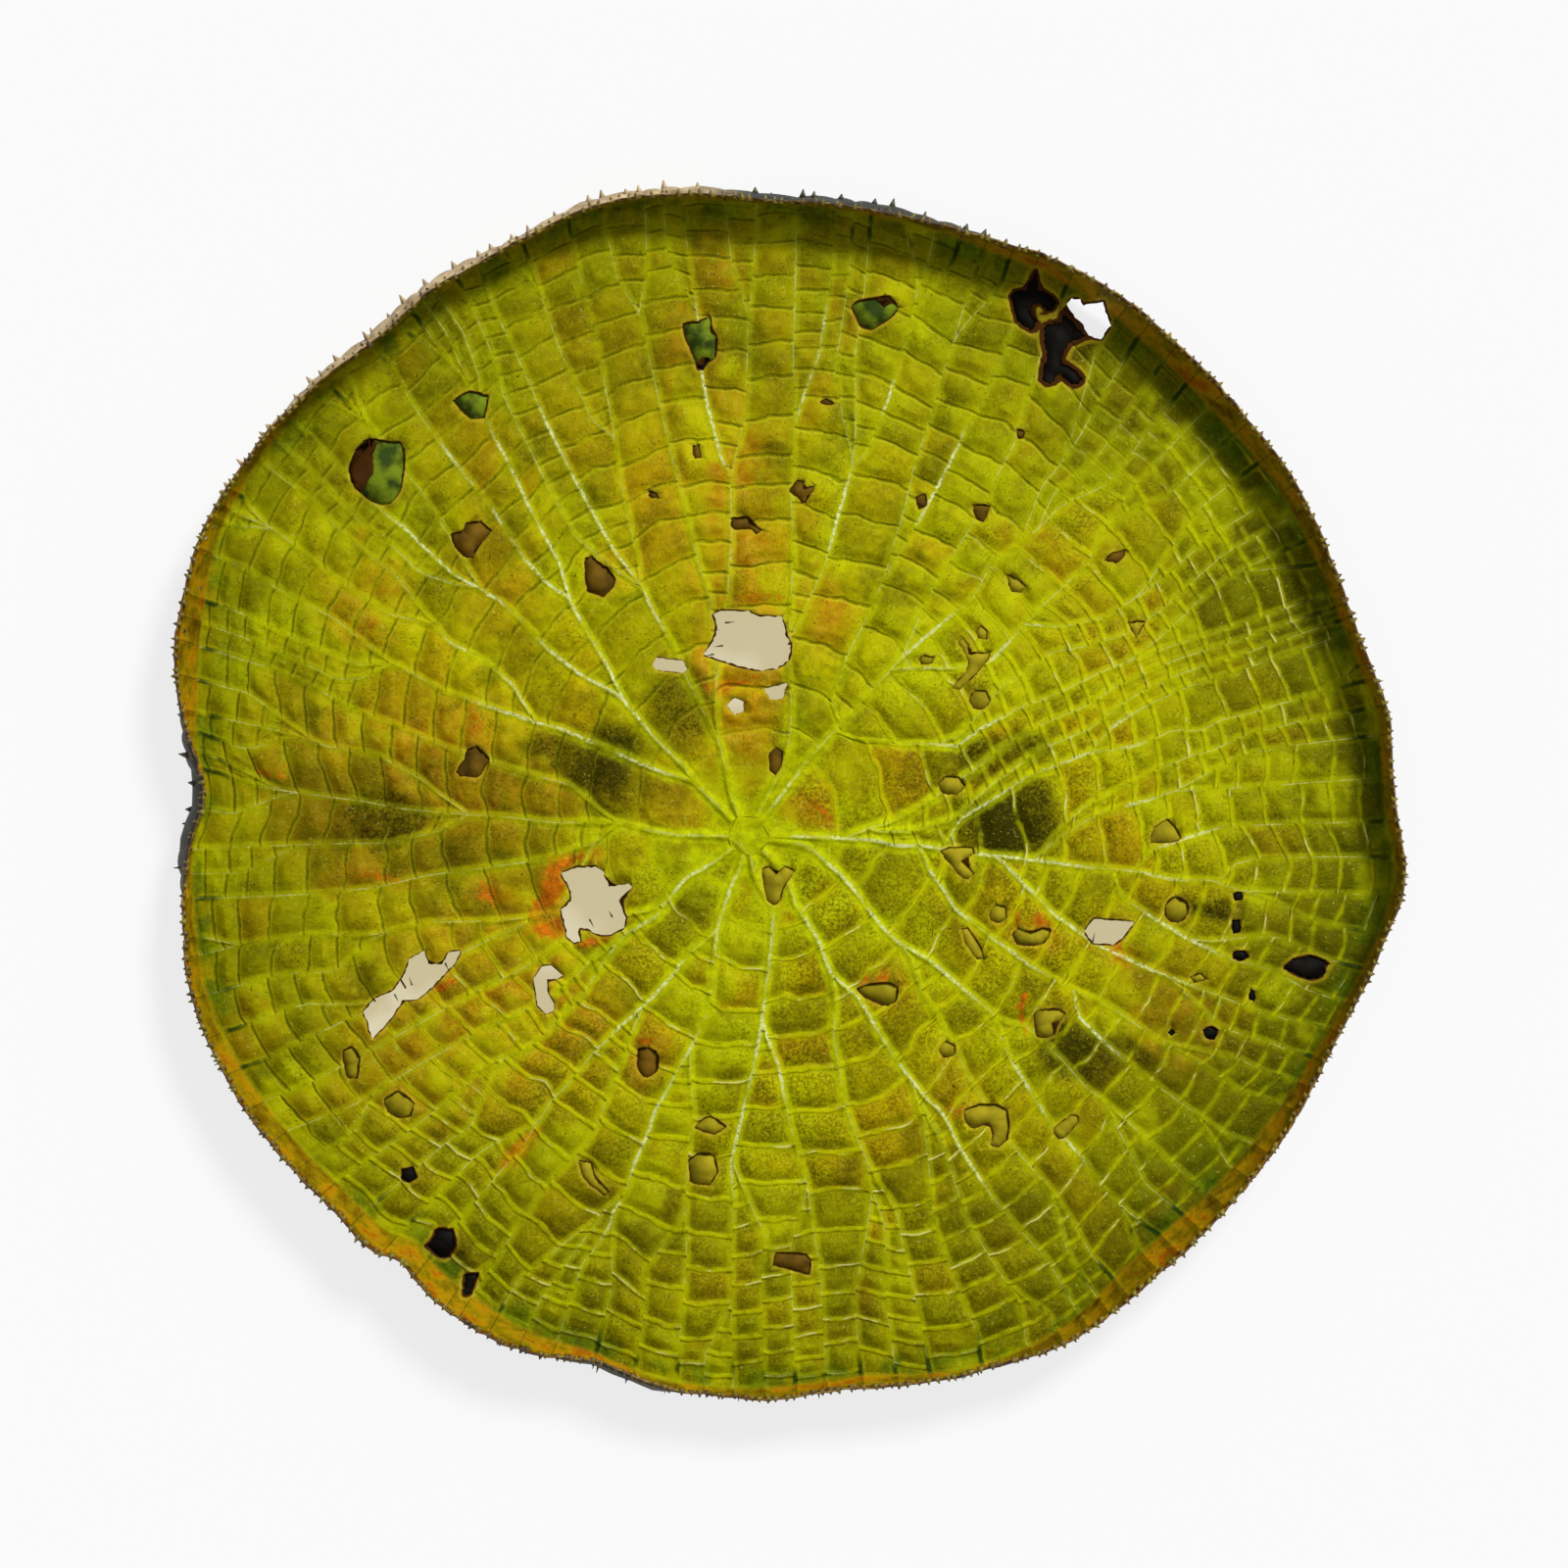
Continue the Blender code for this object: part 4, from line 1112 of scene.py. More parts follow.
def make_spines(orders, material):
    """Thorns on the rim's outer face, thickest to the upper left, and on the ribs below."""
    dice = random.Random(SEED + 2)
    spines = bmesh.new()
    for number in range(THORN_PLACES):
        angle = TURN * (number + dice.random()) / THORN_PLACES
        outward = heading(angle).to_3d()
        stout = outward.y - 0.6 * outward.x > 0.55
        if not stout and dice.random() < 0.5:
            continue
        foot = rim_point(angle, dice.uniform(0.25, 0.85), 0.0) + outward * 0.5 * BLADE_THICKNESS
        length = dice.uniform(6, 10) * MM if stout else dice.uniform(4, 8) * MM
        slant = dice.uniform(-0.15, 0.25) - toward(angle, RIM_LEAN) / RIM_RISE
        tip = foot + (outward + Vector((0, 0, slant))) * length
        add_spine(spines, foot - outward * 0.5 * MM, tip, 4.2 * MM if stout else 1.6 * MM)
    for vein, run in vein_runs(orders):
        for share, angle in run[2::3]:
            if vein.parent != "hub" and dice.random() < 0.6:
                continue
            outward = heading(angle)
            middle = hub_point(share, angle)
            base = crown(share) - 0.6 * BLADE_THICKNESS - 0.6 * rib_height(share, vein)
            side = dice.choice((-1, 1))
            foot = Vector((middle.x, middle.y, base))
            tip = foot + Vector((-outward.y * side, outward.x * side, -0.5)) * dice.uniform(6, 10) * MM
            tip.z = max(base - 6 * MM, 1.5 * MM)
            add_spine(spines, foot, tip, 1.1 * MM)
    return finish_piece("thorns", spines, material)


def make_stalk_stub(material):
    """Where the stalk was cut off flush with the ribs."""
    stub = bmesh.new()
    profile = ((30, 0.040), (27, 0.026), (23, 0.012), (19, 0.003), (17, 0.0), (6, 0.0005), (0.5, 0.0005))
    points = [stub.verts.new((HUB.x + r * MM, HUB.y, z)) for r, z in profile]
    line = [stub.edges.new(pair) for pair in zip(points, points[1:])]
    bmesh.ops.spin(stub, geom=points + line, cent=(HUB.x, HUB.y, 0), axis=(0, 0, 1),
                   angle=TURN, steps=SCAR_STEPS, use_merge=True)
    bmesh.ops.remove_doubles(stub, verts=stub.verts, dist=0.05 * MM)
    return finish_piece("stalk_scar", stub, material)


def finish_piece(name, shape, material):
    bmesh.ops.recalc_face_normals(shape, faces=shape.faces)
    for face in shape.faces:
        face.smooth = True
    mesh = bpy.data.meshes.new(name)
    shape.to_mesh(mesh)
    shape.free()
    mesh.materials.append(material)
    return new_object(name, mesh)


# ---------------------------------------------------------------- materials
def shade(code):
    """A colour from its sRGB hex code."""
    parts = [int(code[i : i + 2], 16) / 255 for i in (1, 3, 5)]
    linear = [c / 12.92 if c <= 0.04045 else ((c + 0.055) / 1.055) ** 2.4 for c in parts]
    return (*linear, 1.0)


class Paint:
    """A material's node tree, with one short call for each kind of step."""

    def __init__(self, name):
        self.material = bpy.data.materials.new(name)
        self.material.use_nodes = True
        self.nodes = self.material.node_tree.nodes
        self.links = self.material.node_tree.links
        self.nodes.clear()
        self.place = self.add("ShaderNodeTexCoord").outputs["Object"]

    def add(self, kind, inputs=(), **settings):
        """Add a node with its settings, and link or set each of its inputs by position or name."""
        node = self.nodes.new(kind)
        for key, value in settings.items():
            setattr(node, key, value)
        for key, value in dict(inputs).items():
            if isinstance(value, bpy.types.NodeSocket):
                self.links.new(value, node.inputs[key])
            else:
                node.inputs[key].default_value = value
        return node

    def note(self, name):
        return self.add("ShaderNodeAttribute", attribute_name=name).outputs["Fac"]

    def calc(self, operation, first, second=0.0, third=0.0):
        inputs = {0: first, 1: second, 2: third}
        return self.add("ShaderNodeMath", inputs, operation=operation).outputs[0]

    def times(self, first, second):
        return self.calc("MULTIPLY", first, second)

    def fade(self, value, start, end, low=0.0, high=1.0):
        """A smooth step of a value from start to end, onto low to high."""
        inputs = {"Value": value, "From Min": start, "From Max": end, "To Min": low, "To Max": high}
        node = self.add("ShaderNodeMapRange", inputs, interpolation_type="SMOOTHSTEP")
        return node.outputs["Result"]

    def cloud(self, size, detail=3.0, rough=0.55, vector=None, twist=0.0):
        """Noise whose lumps are about size metres across."""
        inputs = {"Vector": vector or self.place, "Scale": 1 / size, "Detail": detail,
                  "Roughness": rough, "Distortion": twist}
        return self.add("ShaderNodeTexNoise", inputs).outputs["Fac"]

    def swing(self, *args):
        """Noise that swings about zero."""
        return self.calc("SUBTRACT", self.cloud(*args), 0.5)

    def mix(self, share, first, second):
        node = self.add("ShaderNodeMix", data_type="RGBA", clamp_factor=True)
        for socket, value in ((0, share), (6, first), (7, second)):
            if isinstance(value, bpy.types.NodeSocket):
                self.links.new(value, node.inputs[socket])
            else:
                node.inputs[socket].default_value = value
        return node.outputs[2]

    def ramp(self, value, stops):
        node = self.add("ShaderNodeValToRGB", {"Fac": value})
        elements = node.color_ramp.elements
        while len(elements) < len(stops):
            elements.new(0.5)
        for element, (position, colour) in zip(elements, stops):
            element.position = position
            element.color = shade(colour)
        return node.outputs["Color"]

    def let_through(self, skin, colour, share):
        """Let a share of the light pass through thin tissue."""
        glow = self.add("ShaderNodeBsdfTranslucent", {"Color": colour})
        return self.add("ShaderNodeMixShader", {0: share, 1: skin.outputs[0], 2: glow.outputs[0]}).outputs[0]

    def finish(self, surface):
        self.add("ShaderNodeOutputMaterial", {"Surface": surface})
        return self.material


class Cell:
    """What the skin needs to know about its place: distances in millimetres and the cell's lots."""

    def __init__(self, p):
        across, width, phase = p.note("across"), p.note("lane_width"), p.note("phase")
        length, lane = p.note("cell_length"), p.note("lane")
        self.share = p.note("share")
        side = p.calc("MINIMUM", across, p.calc("SUBTRACT", 1.0, across))
        self.tremble = p.swing(0.006, 3.0, 0.6)
        self.vein = p.calc("MULTIPLY_ADD", self.tremble, 2.4, p.times(side, width))
        slow = p.times(p.swing(0.03, 1.0), 0.30)
        quick = p.times(self.tremble, 0.05)
        along = p.calc("ADD", phase, p.calc("ADD", slow, quick))
        inside = p.calc("FRACT", along)
        nearest = p.calc("MINIMUM", inside, p.calc("SUBTRACT", 1.0, inside))
        self.crease = p.times(nearest, length)
        self.below_crease = p.times(p.calc("SUBTRACT", 1.0, inside), length)
        self.border = p.calc("MINIMUM", self.vein, p.times(self.crease, 1.3))
        key = p.add("ShaderNodeCombineXYZ", {0: p.calc("FLOOR", along), 1: lane, 2: 0.5})
        chance = p.add("ShaderNodeTexWhiteNoise", {"Vector": key.outputs[0]}, noise_dimensions="3D")
        self.lot = chance.outputs["Value"]
        lots = p.add("ShaderNodeSeparateColor", {0: chance.outputs["Color"]}).outputs
        self.other_lot, self.third_lot = lots[0], lots[1]
        spot = p.add("ShaderNodeSeparateXYZ", {0: p.place}).outputs
        lean = p.calc("MULTIPLY_ADD", spot[0], -0.8, spot[1])
        lean = p.calc("ADD", lean, p.times(p.swing(0.12), 0.5))
        self.sunken = p.fade(lean, -0.06, 0.14)  # creases sink to the upper left and rise elsewhere
        self.raised = p.calc("SUBTRACT", 1.0, self.sunken)
        on_leaf = p.calc("LESS_THAN", self.share, 1.02)
        start = p.calc("MULTIPLY_ADD", p.swing(0.05), 0.35, self.share)
        self.on_blade = p.times(p.fade(start, 0.10, 0.24), on_leaf)
        flow = p.add("ShaderNodeUVMap", uv_map="grain").outputs["UV"]
        stretched = p.add("ShaderNodeMapping", {"Vector": flow, "Scale": (820, 120, 1)}).outputs[0]
        self.fibre = p.cloud(1.0, 4.0, 0.7, stretched)
        self.mottle = p.cloud(0.010, 6.0, 0.72)
        self.fuzz = p.cloud(0.0032, 4.0, 0.75)


def cell_colour(p, cell):
    """Olive to lime over the blade, with each cell's own tint, a darker fuzzy middle and painted shade inside
    the rim on the right.
    """
    base = p.ramp(p.cloud(0.15, 3.0, twist=0.4), (
        (0.28, "#6C6A00"), (0.42, "#989400"), (0.56, "#B6B200"), (0.72, "#CCD000")))
    tint = p.ramp(cell.lot, (
        (0.0, "#5E5E00"), (0.18, "#9CB200"), (0.36, "#C8BE00"), (0.52, "#C08A04"),
        (0.68, "#6E7400"), (0.84, "#CCD400"), (1.0, "#C89408")))
    colour = p.mix(p.calc("MULTIPLY_ADD", cell.other_lot, 0.60, 0.22), base, tint)
    blotch = p.ramp(cell.mottle, ((0.32, "#5E5400"), (0.47, "#A09400"), (0.56, "#BCB000"), (0.72, "#DCD410")))
    colour = p.mix(0.40, colour, blotch)
    lime = p.times(p.note("lime"), p.fade(p.cloud(0.03, 4.0), 0.34, 0.60))
    colour = p.mix(p.times(lime, 0.8), colour, shade("#C6D600"))
    warm_noise = p.fade(p.cloud(0.022, 5.0, 0.65), 0.32, 0.60)
    warm = p.times(p.note("warm"), p.calc("MULTIPLY_ADD", warm_noise, 0.75, 0.35))
    warm_tint = p.ramp(p.cloud(0.016, 4.0), ((0.32, "#A46404"), (0.5, "#C48A0C"), (0.68, "#D6A824")))
    colour = p.mix(p.times(warm, p.fade(cell.third_lot, 0.0, 0.7, 0.55, 1.0)), colour, warm_tint)

    # the middle of a cell dulls in fuzzy specks, most to the right, and its borders stay bright
    middle = p.fade(cell.border, 2.0, 9.0)
    specks = p.fade(cell.fuzz, 0.40, 0.60)
    dulled = p.times(p.fade(p.cloud(0.09, 2.0), 0.36, 0.60, 0.25, 1.0), cell.raised)
    dulled = p.calc("ADD", p.times(dulled, 0.75), p.times(cell.other_lot, 0.30))
    dull = p.times(p.times(middle, specks), dulled)
    colour = p.mix(p.times(dull, 0.75), colour, shade("#4C4400"))
    bright = p.times(p.fade(cell.border, 7.0, 1.0), p.times(cell.on_blade, 0.30))
    colour = p.mix(bright, colour, shade("#C4CC00"))
    outer = p.calc("MULTIPLY_ADD", p.swing(0.07, 3.0), 0.7, cell.share)
    outer = p.fade(outer, 0.45, 1.0)
    colour = p.mix(p.times(outer, 0.50), colour, shade("#566000"))
    # painted shade that the rim casts inward on the right side, darkening the blade toward the fold
    toward_right = p.fade(p.add("ShaderNodeSeparateXYZ", {0: p.place}).outputs[0], 0.10, 0.45)
    rim_shade_right = p.times(p.fade(cell.share, 0.74, 1.02), toward_right)
    colour = p.mix(p.times(rim_shade_right, 0.70), colour, shade("#3A4200"))
    smear = p.fade(p.cloud(0.070, 4.0, 0.58), 0.52, 0.66)
    colour = p.mix(p.times(smear, 0.42), colour, shade("#564E00"))
    lit_patch = p.fade(p.cloud(0.080, 4.0, 0.55), 0.46, 0.34)
    colour = p.mix(p.times(lit_patch, 0.50), colour, shade("#C0C800"))
    heavy = p.calc("MULTIPLY_ADD", p.swing(0.04, 3.0), 0.9, p.note("dark"))
    return p.mix(p.fade(heavy, 0.10, 0.70, 0.0, 0.60), colour, shade("#463E00"))


def add_stains(p, cell, colour):
    """Scorched red and rotted black, then fine fibres, flecks and grains."""
    burnt = p.calc("MULTIPLY_ADD", p.swing(0.010, 5.0, 0.7), 1.6, p.note("scorch"))
    burnt_tint = p.ramp(cell.mottle, ((0.35, "#984604"), (0.6, "#D0760C")))
    colour = p.mix(p.fade(burnt, 0.30, 0.80), colour, burnt_tint)
    rotten = p.calc("MULTIPLY_ADD", p.calc("SUBTRACT", cell.fuzz, 0.5), 1.5, p.note("dark"))
    rotten = p.calc("MULTIPLY_ADD", p.calc("SUBTRACT", cell.mottle, 0.5), 1.0, rotten)
    rot_tint = p.ramp(cell.fibre, ((0.35, "#161402"), (0.65, "#3A3600")))
    colour = p.mix(p.fade(rotten, 0.45, 1.0, 0.0, 0.92), colour, rot_tint)
    colour = p.mix(p.fade(cell.fibre, 0.54, 0.76, 0.0, 0.55), colour, shade("#4A4000"))
    colour = p.mix(p.fade(cell.fibre, 0.45, 0.25, 0.0, 0.40), colour, shade("#D6D040"))
    wander = p.calc("ABSOLUTE", p.swing(0.011, 4.0, 0.62))
    crack = p.times(p.fade(wander, 0.016, 0.004), p.fade(p.cloud(0.035, 2.0), 0.46, 0.60))
    colour = p.mix(p.times(crack, 0.6), colour, shade("#3C3400"))
    fleck = p.fade(p.cloud(0.0026, 2.0, 0.6), 0.62, 0.70)
    fleck = p.times(fleck, p.fade(p.cloud(0.03, 3.0), 0.40, 0.62))
    colour = p.mix(p.times(fleck, 0.85), colour, shade("#332600"))
    pale_grain = p.fade(p.cloud(0.0035, 2.0, 0.6), 0.35, 0.27)
    return p.mix(p.times(pale_grain, 0.35), colour, shade("#E0DA60"))


def add_veins(p, cell, colour):
    """Lime shoulders on every vein, a frayed white crest on some, and the creases between cells: painted
    shade with a painted highlight below it where they sink, pale, white and rusty lines where they rise.
    """
    strength = p.fade(cell.share, 0.10, 0.80, 1.0, 0.30)
    reach = p.fade(cell.share, 0.05, 0.8, 13.0, 7.0)
    near = p.calc("SUBTRACT", 1.0, p.calc("DIVIDE", cell.vein, reach))
    ragged = p.calc("MULTIPLY_ADD", cell.tremble, 0.9, near)
    shoulder = p.times(p.fade(ragged, 0.05, 0.75), strength)
    shoulder = p.times(shoulder, p.fade(p.cloud(0.05, 3.0), 0.34, 0.58, 0.55, 1.0))
    shoulder = p.times(shoulder, p.fade(cell.raised, 0.0, 1.0, 0.55, 1.0))
    colour = p.mix(shoulder, colour, p.ramp(cell.mottle, ((0.35, "#9CA600"), (0.6, "#CAD404"))))
    frayed = p.fade(p.cloud(0.0040, 4.0, 0.75), 0.40, 0.58)
    gaps = p.fade(p.cloud(0.06, 3.0), 0.42, 0.54)
    crest = p.times(p.fade(cell.vein, 2.4, 0.8), p.note("crest"))
    crest = p.times(crest, p.times(frayed, gaps))
    colour = p.mix(crest, colour, shade("#E6EEA8"))
    thin = p.times(p.fade(cell.vein, 0.9, 0.2), p.fade(p.cloud(0.045), 0.46, 0.6, 0.0, 0.5))
    colour = p.mix(thin, colour, shade("#D2D480"))

    uneven = p.fade(p.cloud(0.018, 3.0), 0.36, 0.58, 0.15, 1.0)
    uneven = p.times(uneven, cell.on_blade)
    # painted shade in the creases where they sink, to the upper left
    dark = p.times(p.fade(cell.crease, 2.2, 0.2), p.times(cell.sunken, uneven))
    dark = p.times(dark, p.fade(cell.vein, 1.0, 5.0))
    # painted highlight in a band just below each sunken crease
    lit = p.fade(p.calc("ABSOLUTE", p.calc("SUBTRACT", cell.below_crease, 2.4)), 1.6, 0.2)
    lit = p.times(lit, p.times(cell.sunken, uneven))
    pale = p.times(p.fade(cell.crease, 4.2, 0.6), p.times(cell.raised, uneven))
    white = p.times(p.fade(cell.crease, 1.2, 0.3), p.fade(p.cloud(0.035, 3.0), 0.54, 0.64))
    white = p.times(p.times(white, cell.raised), cell.on_blade)
    rust = p.fade(p.calc("ABSOLUTE", p.calc("SUBTRACT", cell.crease, 2.2)), 1.2, 0.2)
    rust = p.times(rust, p.times(cell.raised, p.fade(p.cloud(0.014), 0.5, 0.62)))
    # the painted highlight below the creases, then the painted shade in them
    colour = p.mix(p.times(lit, 0.22), colour, shade("#D0CC30"))
    colour = p.mix(p.times(dark, 0.62), colour, shade("#484600"))
    colour = p.mix(p.times(p.times(rust, cell.on_blade), 0.6), colour, shade("#5A3A00"))
    colour = p.mix(p.times(pale, 0.42), colour, shade("#C6CC00"))
    return p.mix(p.times(white, 0.75), colour, shade("#E4E090"))


def add_rim(p, cell, colour):
    """Dark green painted shade in patches at the fold and in the tucks where the veins turn up, then ochres
    and browns to the edge.
    """
    # painted shade, dark green, in patches in the bend of the fold
    near_fold = p.times(p.fade(cell.share, 0.955, 0.995), p.fade(cell.share, 1.25, 1.08))
    green = p.times(near_fold, p.fade(p.cloud(0.035, 4.0), 0.42, 0.60))
    fold_green_shade = p.ramp(cell.mottle, ((0.35, "#1C4208"), (0.65, "#5E8208")))
    colour = p.mix(p.times(green, 0.60), colour, fold_green_shade)
    tint = p.ramp(p.cloud(0.040, 6.0, 0.7), (
        (0.28, "#463802"), (0.39, "#7A5404"), (0.47, "#8A7604"), (0.56, "#B88A06"),
        (0.65, "#A85806"), (0.75, "#7A8404")))
    rim = p.times(p.fade(cell.share, 1.03, 1.18), p.fade(p.cloud(0.05), 0.2, 0.5, 0.6, 0.95))
    colour = p.mix(rim, colour, tint)
    # painted shade in the tucks where each vein turns up at the fold
    tuck_shade = p.times(p.fade(cell.vein, 4.0, 1.0), p.fade(p.cloud(0.04, 2.0), 0.46, 0.60))
    span = p.times(p.fade(cell.share, 0.935, 0.985), p.fade(cell.share, 1.20, 1.03))
    colour = p.mix(p.times(p.times(tuck_shade, span), 0.9), colour, shade("#12300A"))
    on_rim = p.times(p.fade(cell.vein, 1.6, 0.4), p.fade(cell.share, 1.1, 1.2, 0.0, 0.5))
    colour = p.mix(on_rim, colour, shade("#4A3404"))
    dried = p.times(p.fade(cell.share, 1.82, 1.97), p.fade(p.cloud(0.014), 0.36, 0.56))
    return p.mix(dried, colour, shade("#6A3606"))


def add_torn_edges(p, cell, colour):
    """Brown round each torn place."""
    halo = p.fade(p.calc("MULTIPLY_ADD", cell.tremble, 3.0, p.note("hole")), 6.0, 2.5)
    colour = p.mix(p.times(halo, 0.35), colour, shade("#C8B024"))
    torn = p.fade(p.calc("MULTIPLY_ADD", cell.tremble, 2.4, p.note("hole")), 1.7, 0.8)
    return p.mix(torn, colour, shade("#46280A"))


def skin_relief(p, cell):
    """Relief too fine for the mesh, in millimetres."""
    pillow = p.times(p.fade(cell.crease, 0.0, 16.0), p.fade(cell.vein, 0.0, 16.0))
    height = p.times(pillow, 3.4)
    valley = p.times(p.fade(cell.crease, 0.0, 3.0), p.times(cell.sunken, 1.3))
    crest = p.times(p.fade(cell.crease, 4.0, 0.6), p.times(cell.raised, 1.4))
    height = p.times(p.calc("ADD", height, p.calc("ADD", valley, crest)), cell.on_blade)
    fullness = p.fade(cell.share, 0.1, 0.9, 1.7, 0.8)
    height = p.calc("ADD", height, p.times(p.fade(cell.vein, 6.0, 0.6), fullness))
    height = p.calc("MULTIPLY_ADD", cell.fibre, 0.34, height)
    height = p.calc("MULTIPLY_ADD", cell.mottle, 1.3, height)
    height = p.calc("MULTIPLY_ADD", p.cloud(0.03, 2.0), 3.0, height)
    return p.add("ShaderNodeBump", {"Strength": 1.0, "Distance": MM, "Height": height}).outputs[0]


def upper_face():
    """Leathery quilted blade and inner rim: stained cells, pale veins and dark creases."""
    p = Paint("leaf_upper_skin")
    cell = Cell(p)
    colour = cell_colour(p, cell)
    for step in (add_stains, add_veins, add_rim, add_torn_edges):
        colour = step(p, cell, colour)
    rough = p.fade(cell.mottle, 0.35, 0.65, 0.55, 0.72)
    skin = p.add("ShaderNodeBsdfPrincipled", {
        "Base Color": colour, "Roughness": rough, "Normal": skin_relief(p, cell),
        "Specular IOR Level": 0.03})
    return p.finish(p.let_through(skin, colour, 0.22))


def dry_side(p):
    """Where the rim's outer face has dried out: 1 to the upper left, 0 elsewhere."""
    spot = p.add("ShaderNodeSeparateXYZ", {0: p.place}).outputs
    upper_left = p.calc("MULTIPLY_ADD", spot[0], -0.57, p.times(spot[1], 0.82))
    return p.fade(upper_left, 0.52, 0.58)


def under_face():
    """Bronze-red underside that turns grey-black and beige up the rim's outer face."""
    p = Paint("leaf_under_skin")
    share = p.note("share")
    mottle = p.cloud(0.014, 6.0, 0.7)
    colour = p.ramp(mottle, ((0.30, "#3E2A1C"), (0.48, "#6A4630"), (0.62, "#7E5C38"), (0.78, "#8C7A4A")))
    wall = p.ramp(mottle, ((0.35, "#080806"), (0.52, "#181A12"), (0.68, "#3A3C2C")))
    dry = p.ramp(mottle, ((0.35, "#7A6240"), (0.55, "#B49C72"), (0.7, "#D2C298")))
    wall = p.mix(dry_side(p), wall, dry)
    colour = p.mix(p.fade(share, 1.0, 1.2), colour, wall)
    bump = p.add("ShaderNodeBump", {"Strength": 0.7, "Distance": MM, "Height": mottle})
    skin = p.add("ShaderNodeBsdfPrincipled", {
        "Base Color": colour, "Roughness": 0.6, "Normal": bump.outputs[0]})
    return p.finish(p.let_through(skin, shade("#E0C840"), p.fade(share, 1.0, 1.15, 0.50, 0.06)))


def torn_edge():
    """Dried brown tissue where the blade is torn or ends."""
    p = Paint("leaf_torn_edge")
    colour = p.ramp(p.cloud(0.008, 5.0), ((0.35, "#2E1A04"), (0.5, "#5A3A0A"), (0.66, "#8A7428")))
    skin = p.add("ShaderNodeBsdfPrincipled", {"Base Color": colour, "Roughness": 0.75})
    return p.finish(skin.outputs[0])


FILM_COLOURS = {
    "brown": ("#4A3604", "#6A4E08"),
    "olive": ("#82760A", "#9C8E14"),
    "green": ("#2A3A06", "#6A7C10"),
    # near black: partly rotted tissue, partly painted shade for the dark seen down a hole
    "black": ("#060502", "#14100A"),
}


def film_skin(kind, dark, light):
    """What is left in a torn place: a flat dull film with faint clouds in it; near black in the black pits,
    where it is partly painted shade.
    """
    p = Paint(f"leaf_{kind}_film")
    colour = p.ramp(p.cloud(0.024, 4.0), ((0.40, dark), (0.60, light)))
    bump = p.add("ShaderNodeBump", {"Strength": 0.3, "Distance": MM, "Height": p.cloud(0.005, 3.0)})
    skin = p.add("ShaderNodeBsdfPrincipled", {
        "Base Color": colour, "Roughness": 0.75, "Normal": bump.outputs[0], "Specular IOR Level": 0.1})
    return p.finish(skin.outputs[0])


def rib_flesh():
    """Pale ribs below, flushed pink, with fine strands along them."""
    p = Paint("leaf_rib_flesh")
    colour = p.ramp(p.cloud(0.02, 5.0), ((0.30, "#7A4E34"), (0.5, "#A88A5C"), (0.7, "#C4B080")))
    bump = p.add("ShaderNodeBump", {"Strength": 0.5, "Distance": MM, "Height": p.cloud(0.004, 4.0)})
    skin = p.add("ShaderNodeBsdfPrincipled", {
        "Base Color": colour, "Roughness": 0.55, "Normal": bump.outputs[0]})
    return p.finish(skin.outputs[0])


def thorn_horn():
    """Thorns: near black, and dried to beige on the rim's upper left."""
    p = Paint("thorn_horn")
    dark = p.ramp(p.cloud(0.03, 2.0), ((0.35, "#1C1A10"), (0.6, "#4A4830")))
    dry = p.ramp(p.cloud(0.03, 2.0), ((0.35, "#8A7450"), (0.6, "#C4AE84")))
    colour = p.mix(dry_side(p), dark, dry)
    skin = p.add("ShaderNodeBsdfPrincipled", {"Base Color": colour, "Roughness": 0.5})
    return p.finish(skin.outputs[0])


def tooth_skin():
    """Rim teeth: olive and brown, with pale green tips here and there."""
    p = Paint("rim_tooth_skin")
    colour = p.ramp(p.cloud(0.025, 4.0, 0.7), (
        (0.32, "#38280A"), (0.46, "#604A08"), (0.58, "#74680A"), (0.74, "#8E8618")))
    skin = p.add("ShaderNodeBsdfPrincipled", {"Base Color": colour, "Roughness": 0.6})
    return p.finish(skin.outputs[0])


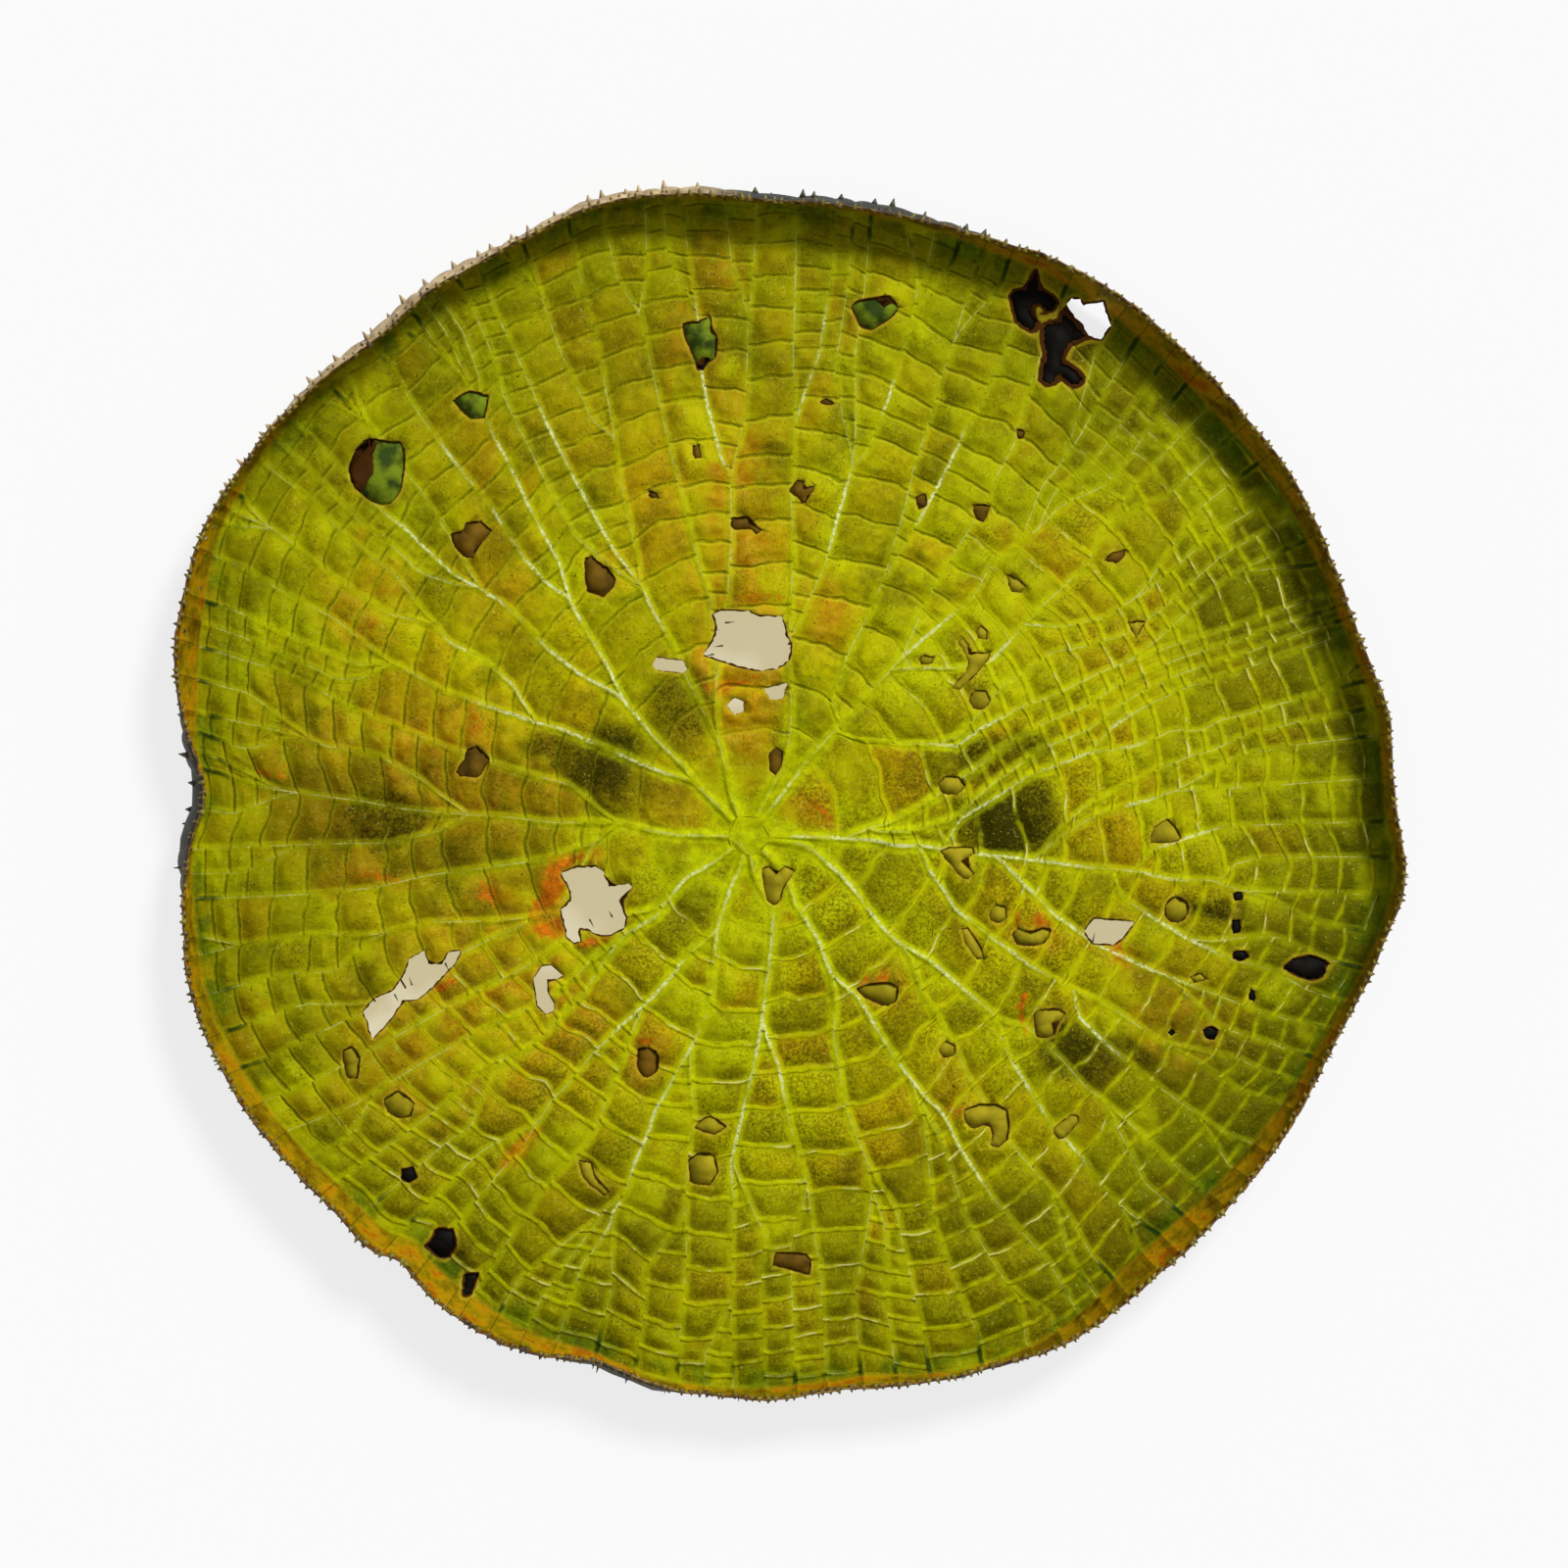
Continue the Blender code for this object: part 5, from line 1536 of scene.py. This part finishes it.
def plain_floor():
    """Matt board lit faintly from within, so that its shadows stay light, and glowing warmer under the blade
    as painted light passed through the leaf.
    """
    p = Paint("white_board")
    spot = p.add("ShaderNodeVectorMath", {0: p.place}, operation="LENGTH").outputs["Value"]
    # painted light: a warm glow on the board under the blade, for the light that passes through the leaf
    glow = p.mix(p.fade(spot, 0.56, 0.48), shade("#FFFFFF"), shade("#DCD0A4"))
    skin = p.add("ShaderNodeBsdfPrincipled", {
        "Base Color": shade("#6C6C6C"), "Roughness": 0.9, "Specular IOR Level": 0.0,
        "Emission Color": glow, "Emission Strength": 0.785})
    return p.finish(skin.outputs[0])


# ---------------------------------------------------------------- studio
def add_sun(name, toward_light, strength, spread):
    """A sun in the direction given, as wide as spread degrees."""
    light = bpy.data.lights.new(name, "SUN")
    light.energy = strength
    light.angle = math.radians(spread)
    lamp = new_object(name, light)
    lamp.rotation_euler = Vector(toward_light).to_track_quat("Z", "Y").to_euler()


def set_studio():
    camera = bpy.data.cameras.new("camera")
    camera.lens = CAMERA_LENS
    camera.sensor_width = CAMERA_SENSOR
    eye = new_object("camera", camera)
    distance = FRAME_WIDTH * CAMERA_LENS / CAMERA_SENSOR
    eye.location = (*CAMERA_SHIFT, LEAF_HIGH[2] + distance)
    bpy.context.scene.camera = eye
    add_sun("key", (0.9, 1.3, 1.4), 3.7, 16)
    world = bpy.data.worlds.new("studio")
    world.use_nodes = True
    world.node_tree.nodes["Background"].inputs["Color"].default_value = (1, 1, 1, 1)
    world.node_tree.nodes["Background"].inputs["Strength"].default_value = 0.38
    bpy.context.scene.world = world
    bpy.context.scene.view_settings.view_transform = "Standard"
    board = bmesh.new()
    bmesh.ops.create_grid(board, x_segments=1, y_segments=1, size=FLOOR_HALF_WIDTH)
    floor = finish_piece("floor", board, plain_floor())


# ---------------------------------------------------------------- assembly
def main():
    orders = grow_veins()
    lanes = find_lanes(orders)
    flesh = rib_flesh()
    sheet = make_sheet(lanes)
    films = make_films(sheet, [film_skin(kind, *stops) for kind, stops in FILM_COLOURS.items()])
    leaf = make_leaf(sheet, (upper_face(), under_face(), torn_edge()))
    pieces = [leaf, films, make_ribs(orders, flesh), make_ties(lanes, flesh),
              make_spines(orders, thorn_horn()), make_teeth(tooth_skin()), make_stalk_stub(flesh)]
    for piece in pieces:
        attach(piece, "root")
    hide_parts("lily_pad")
    set_studio()


main()
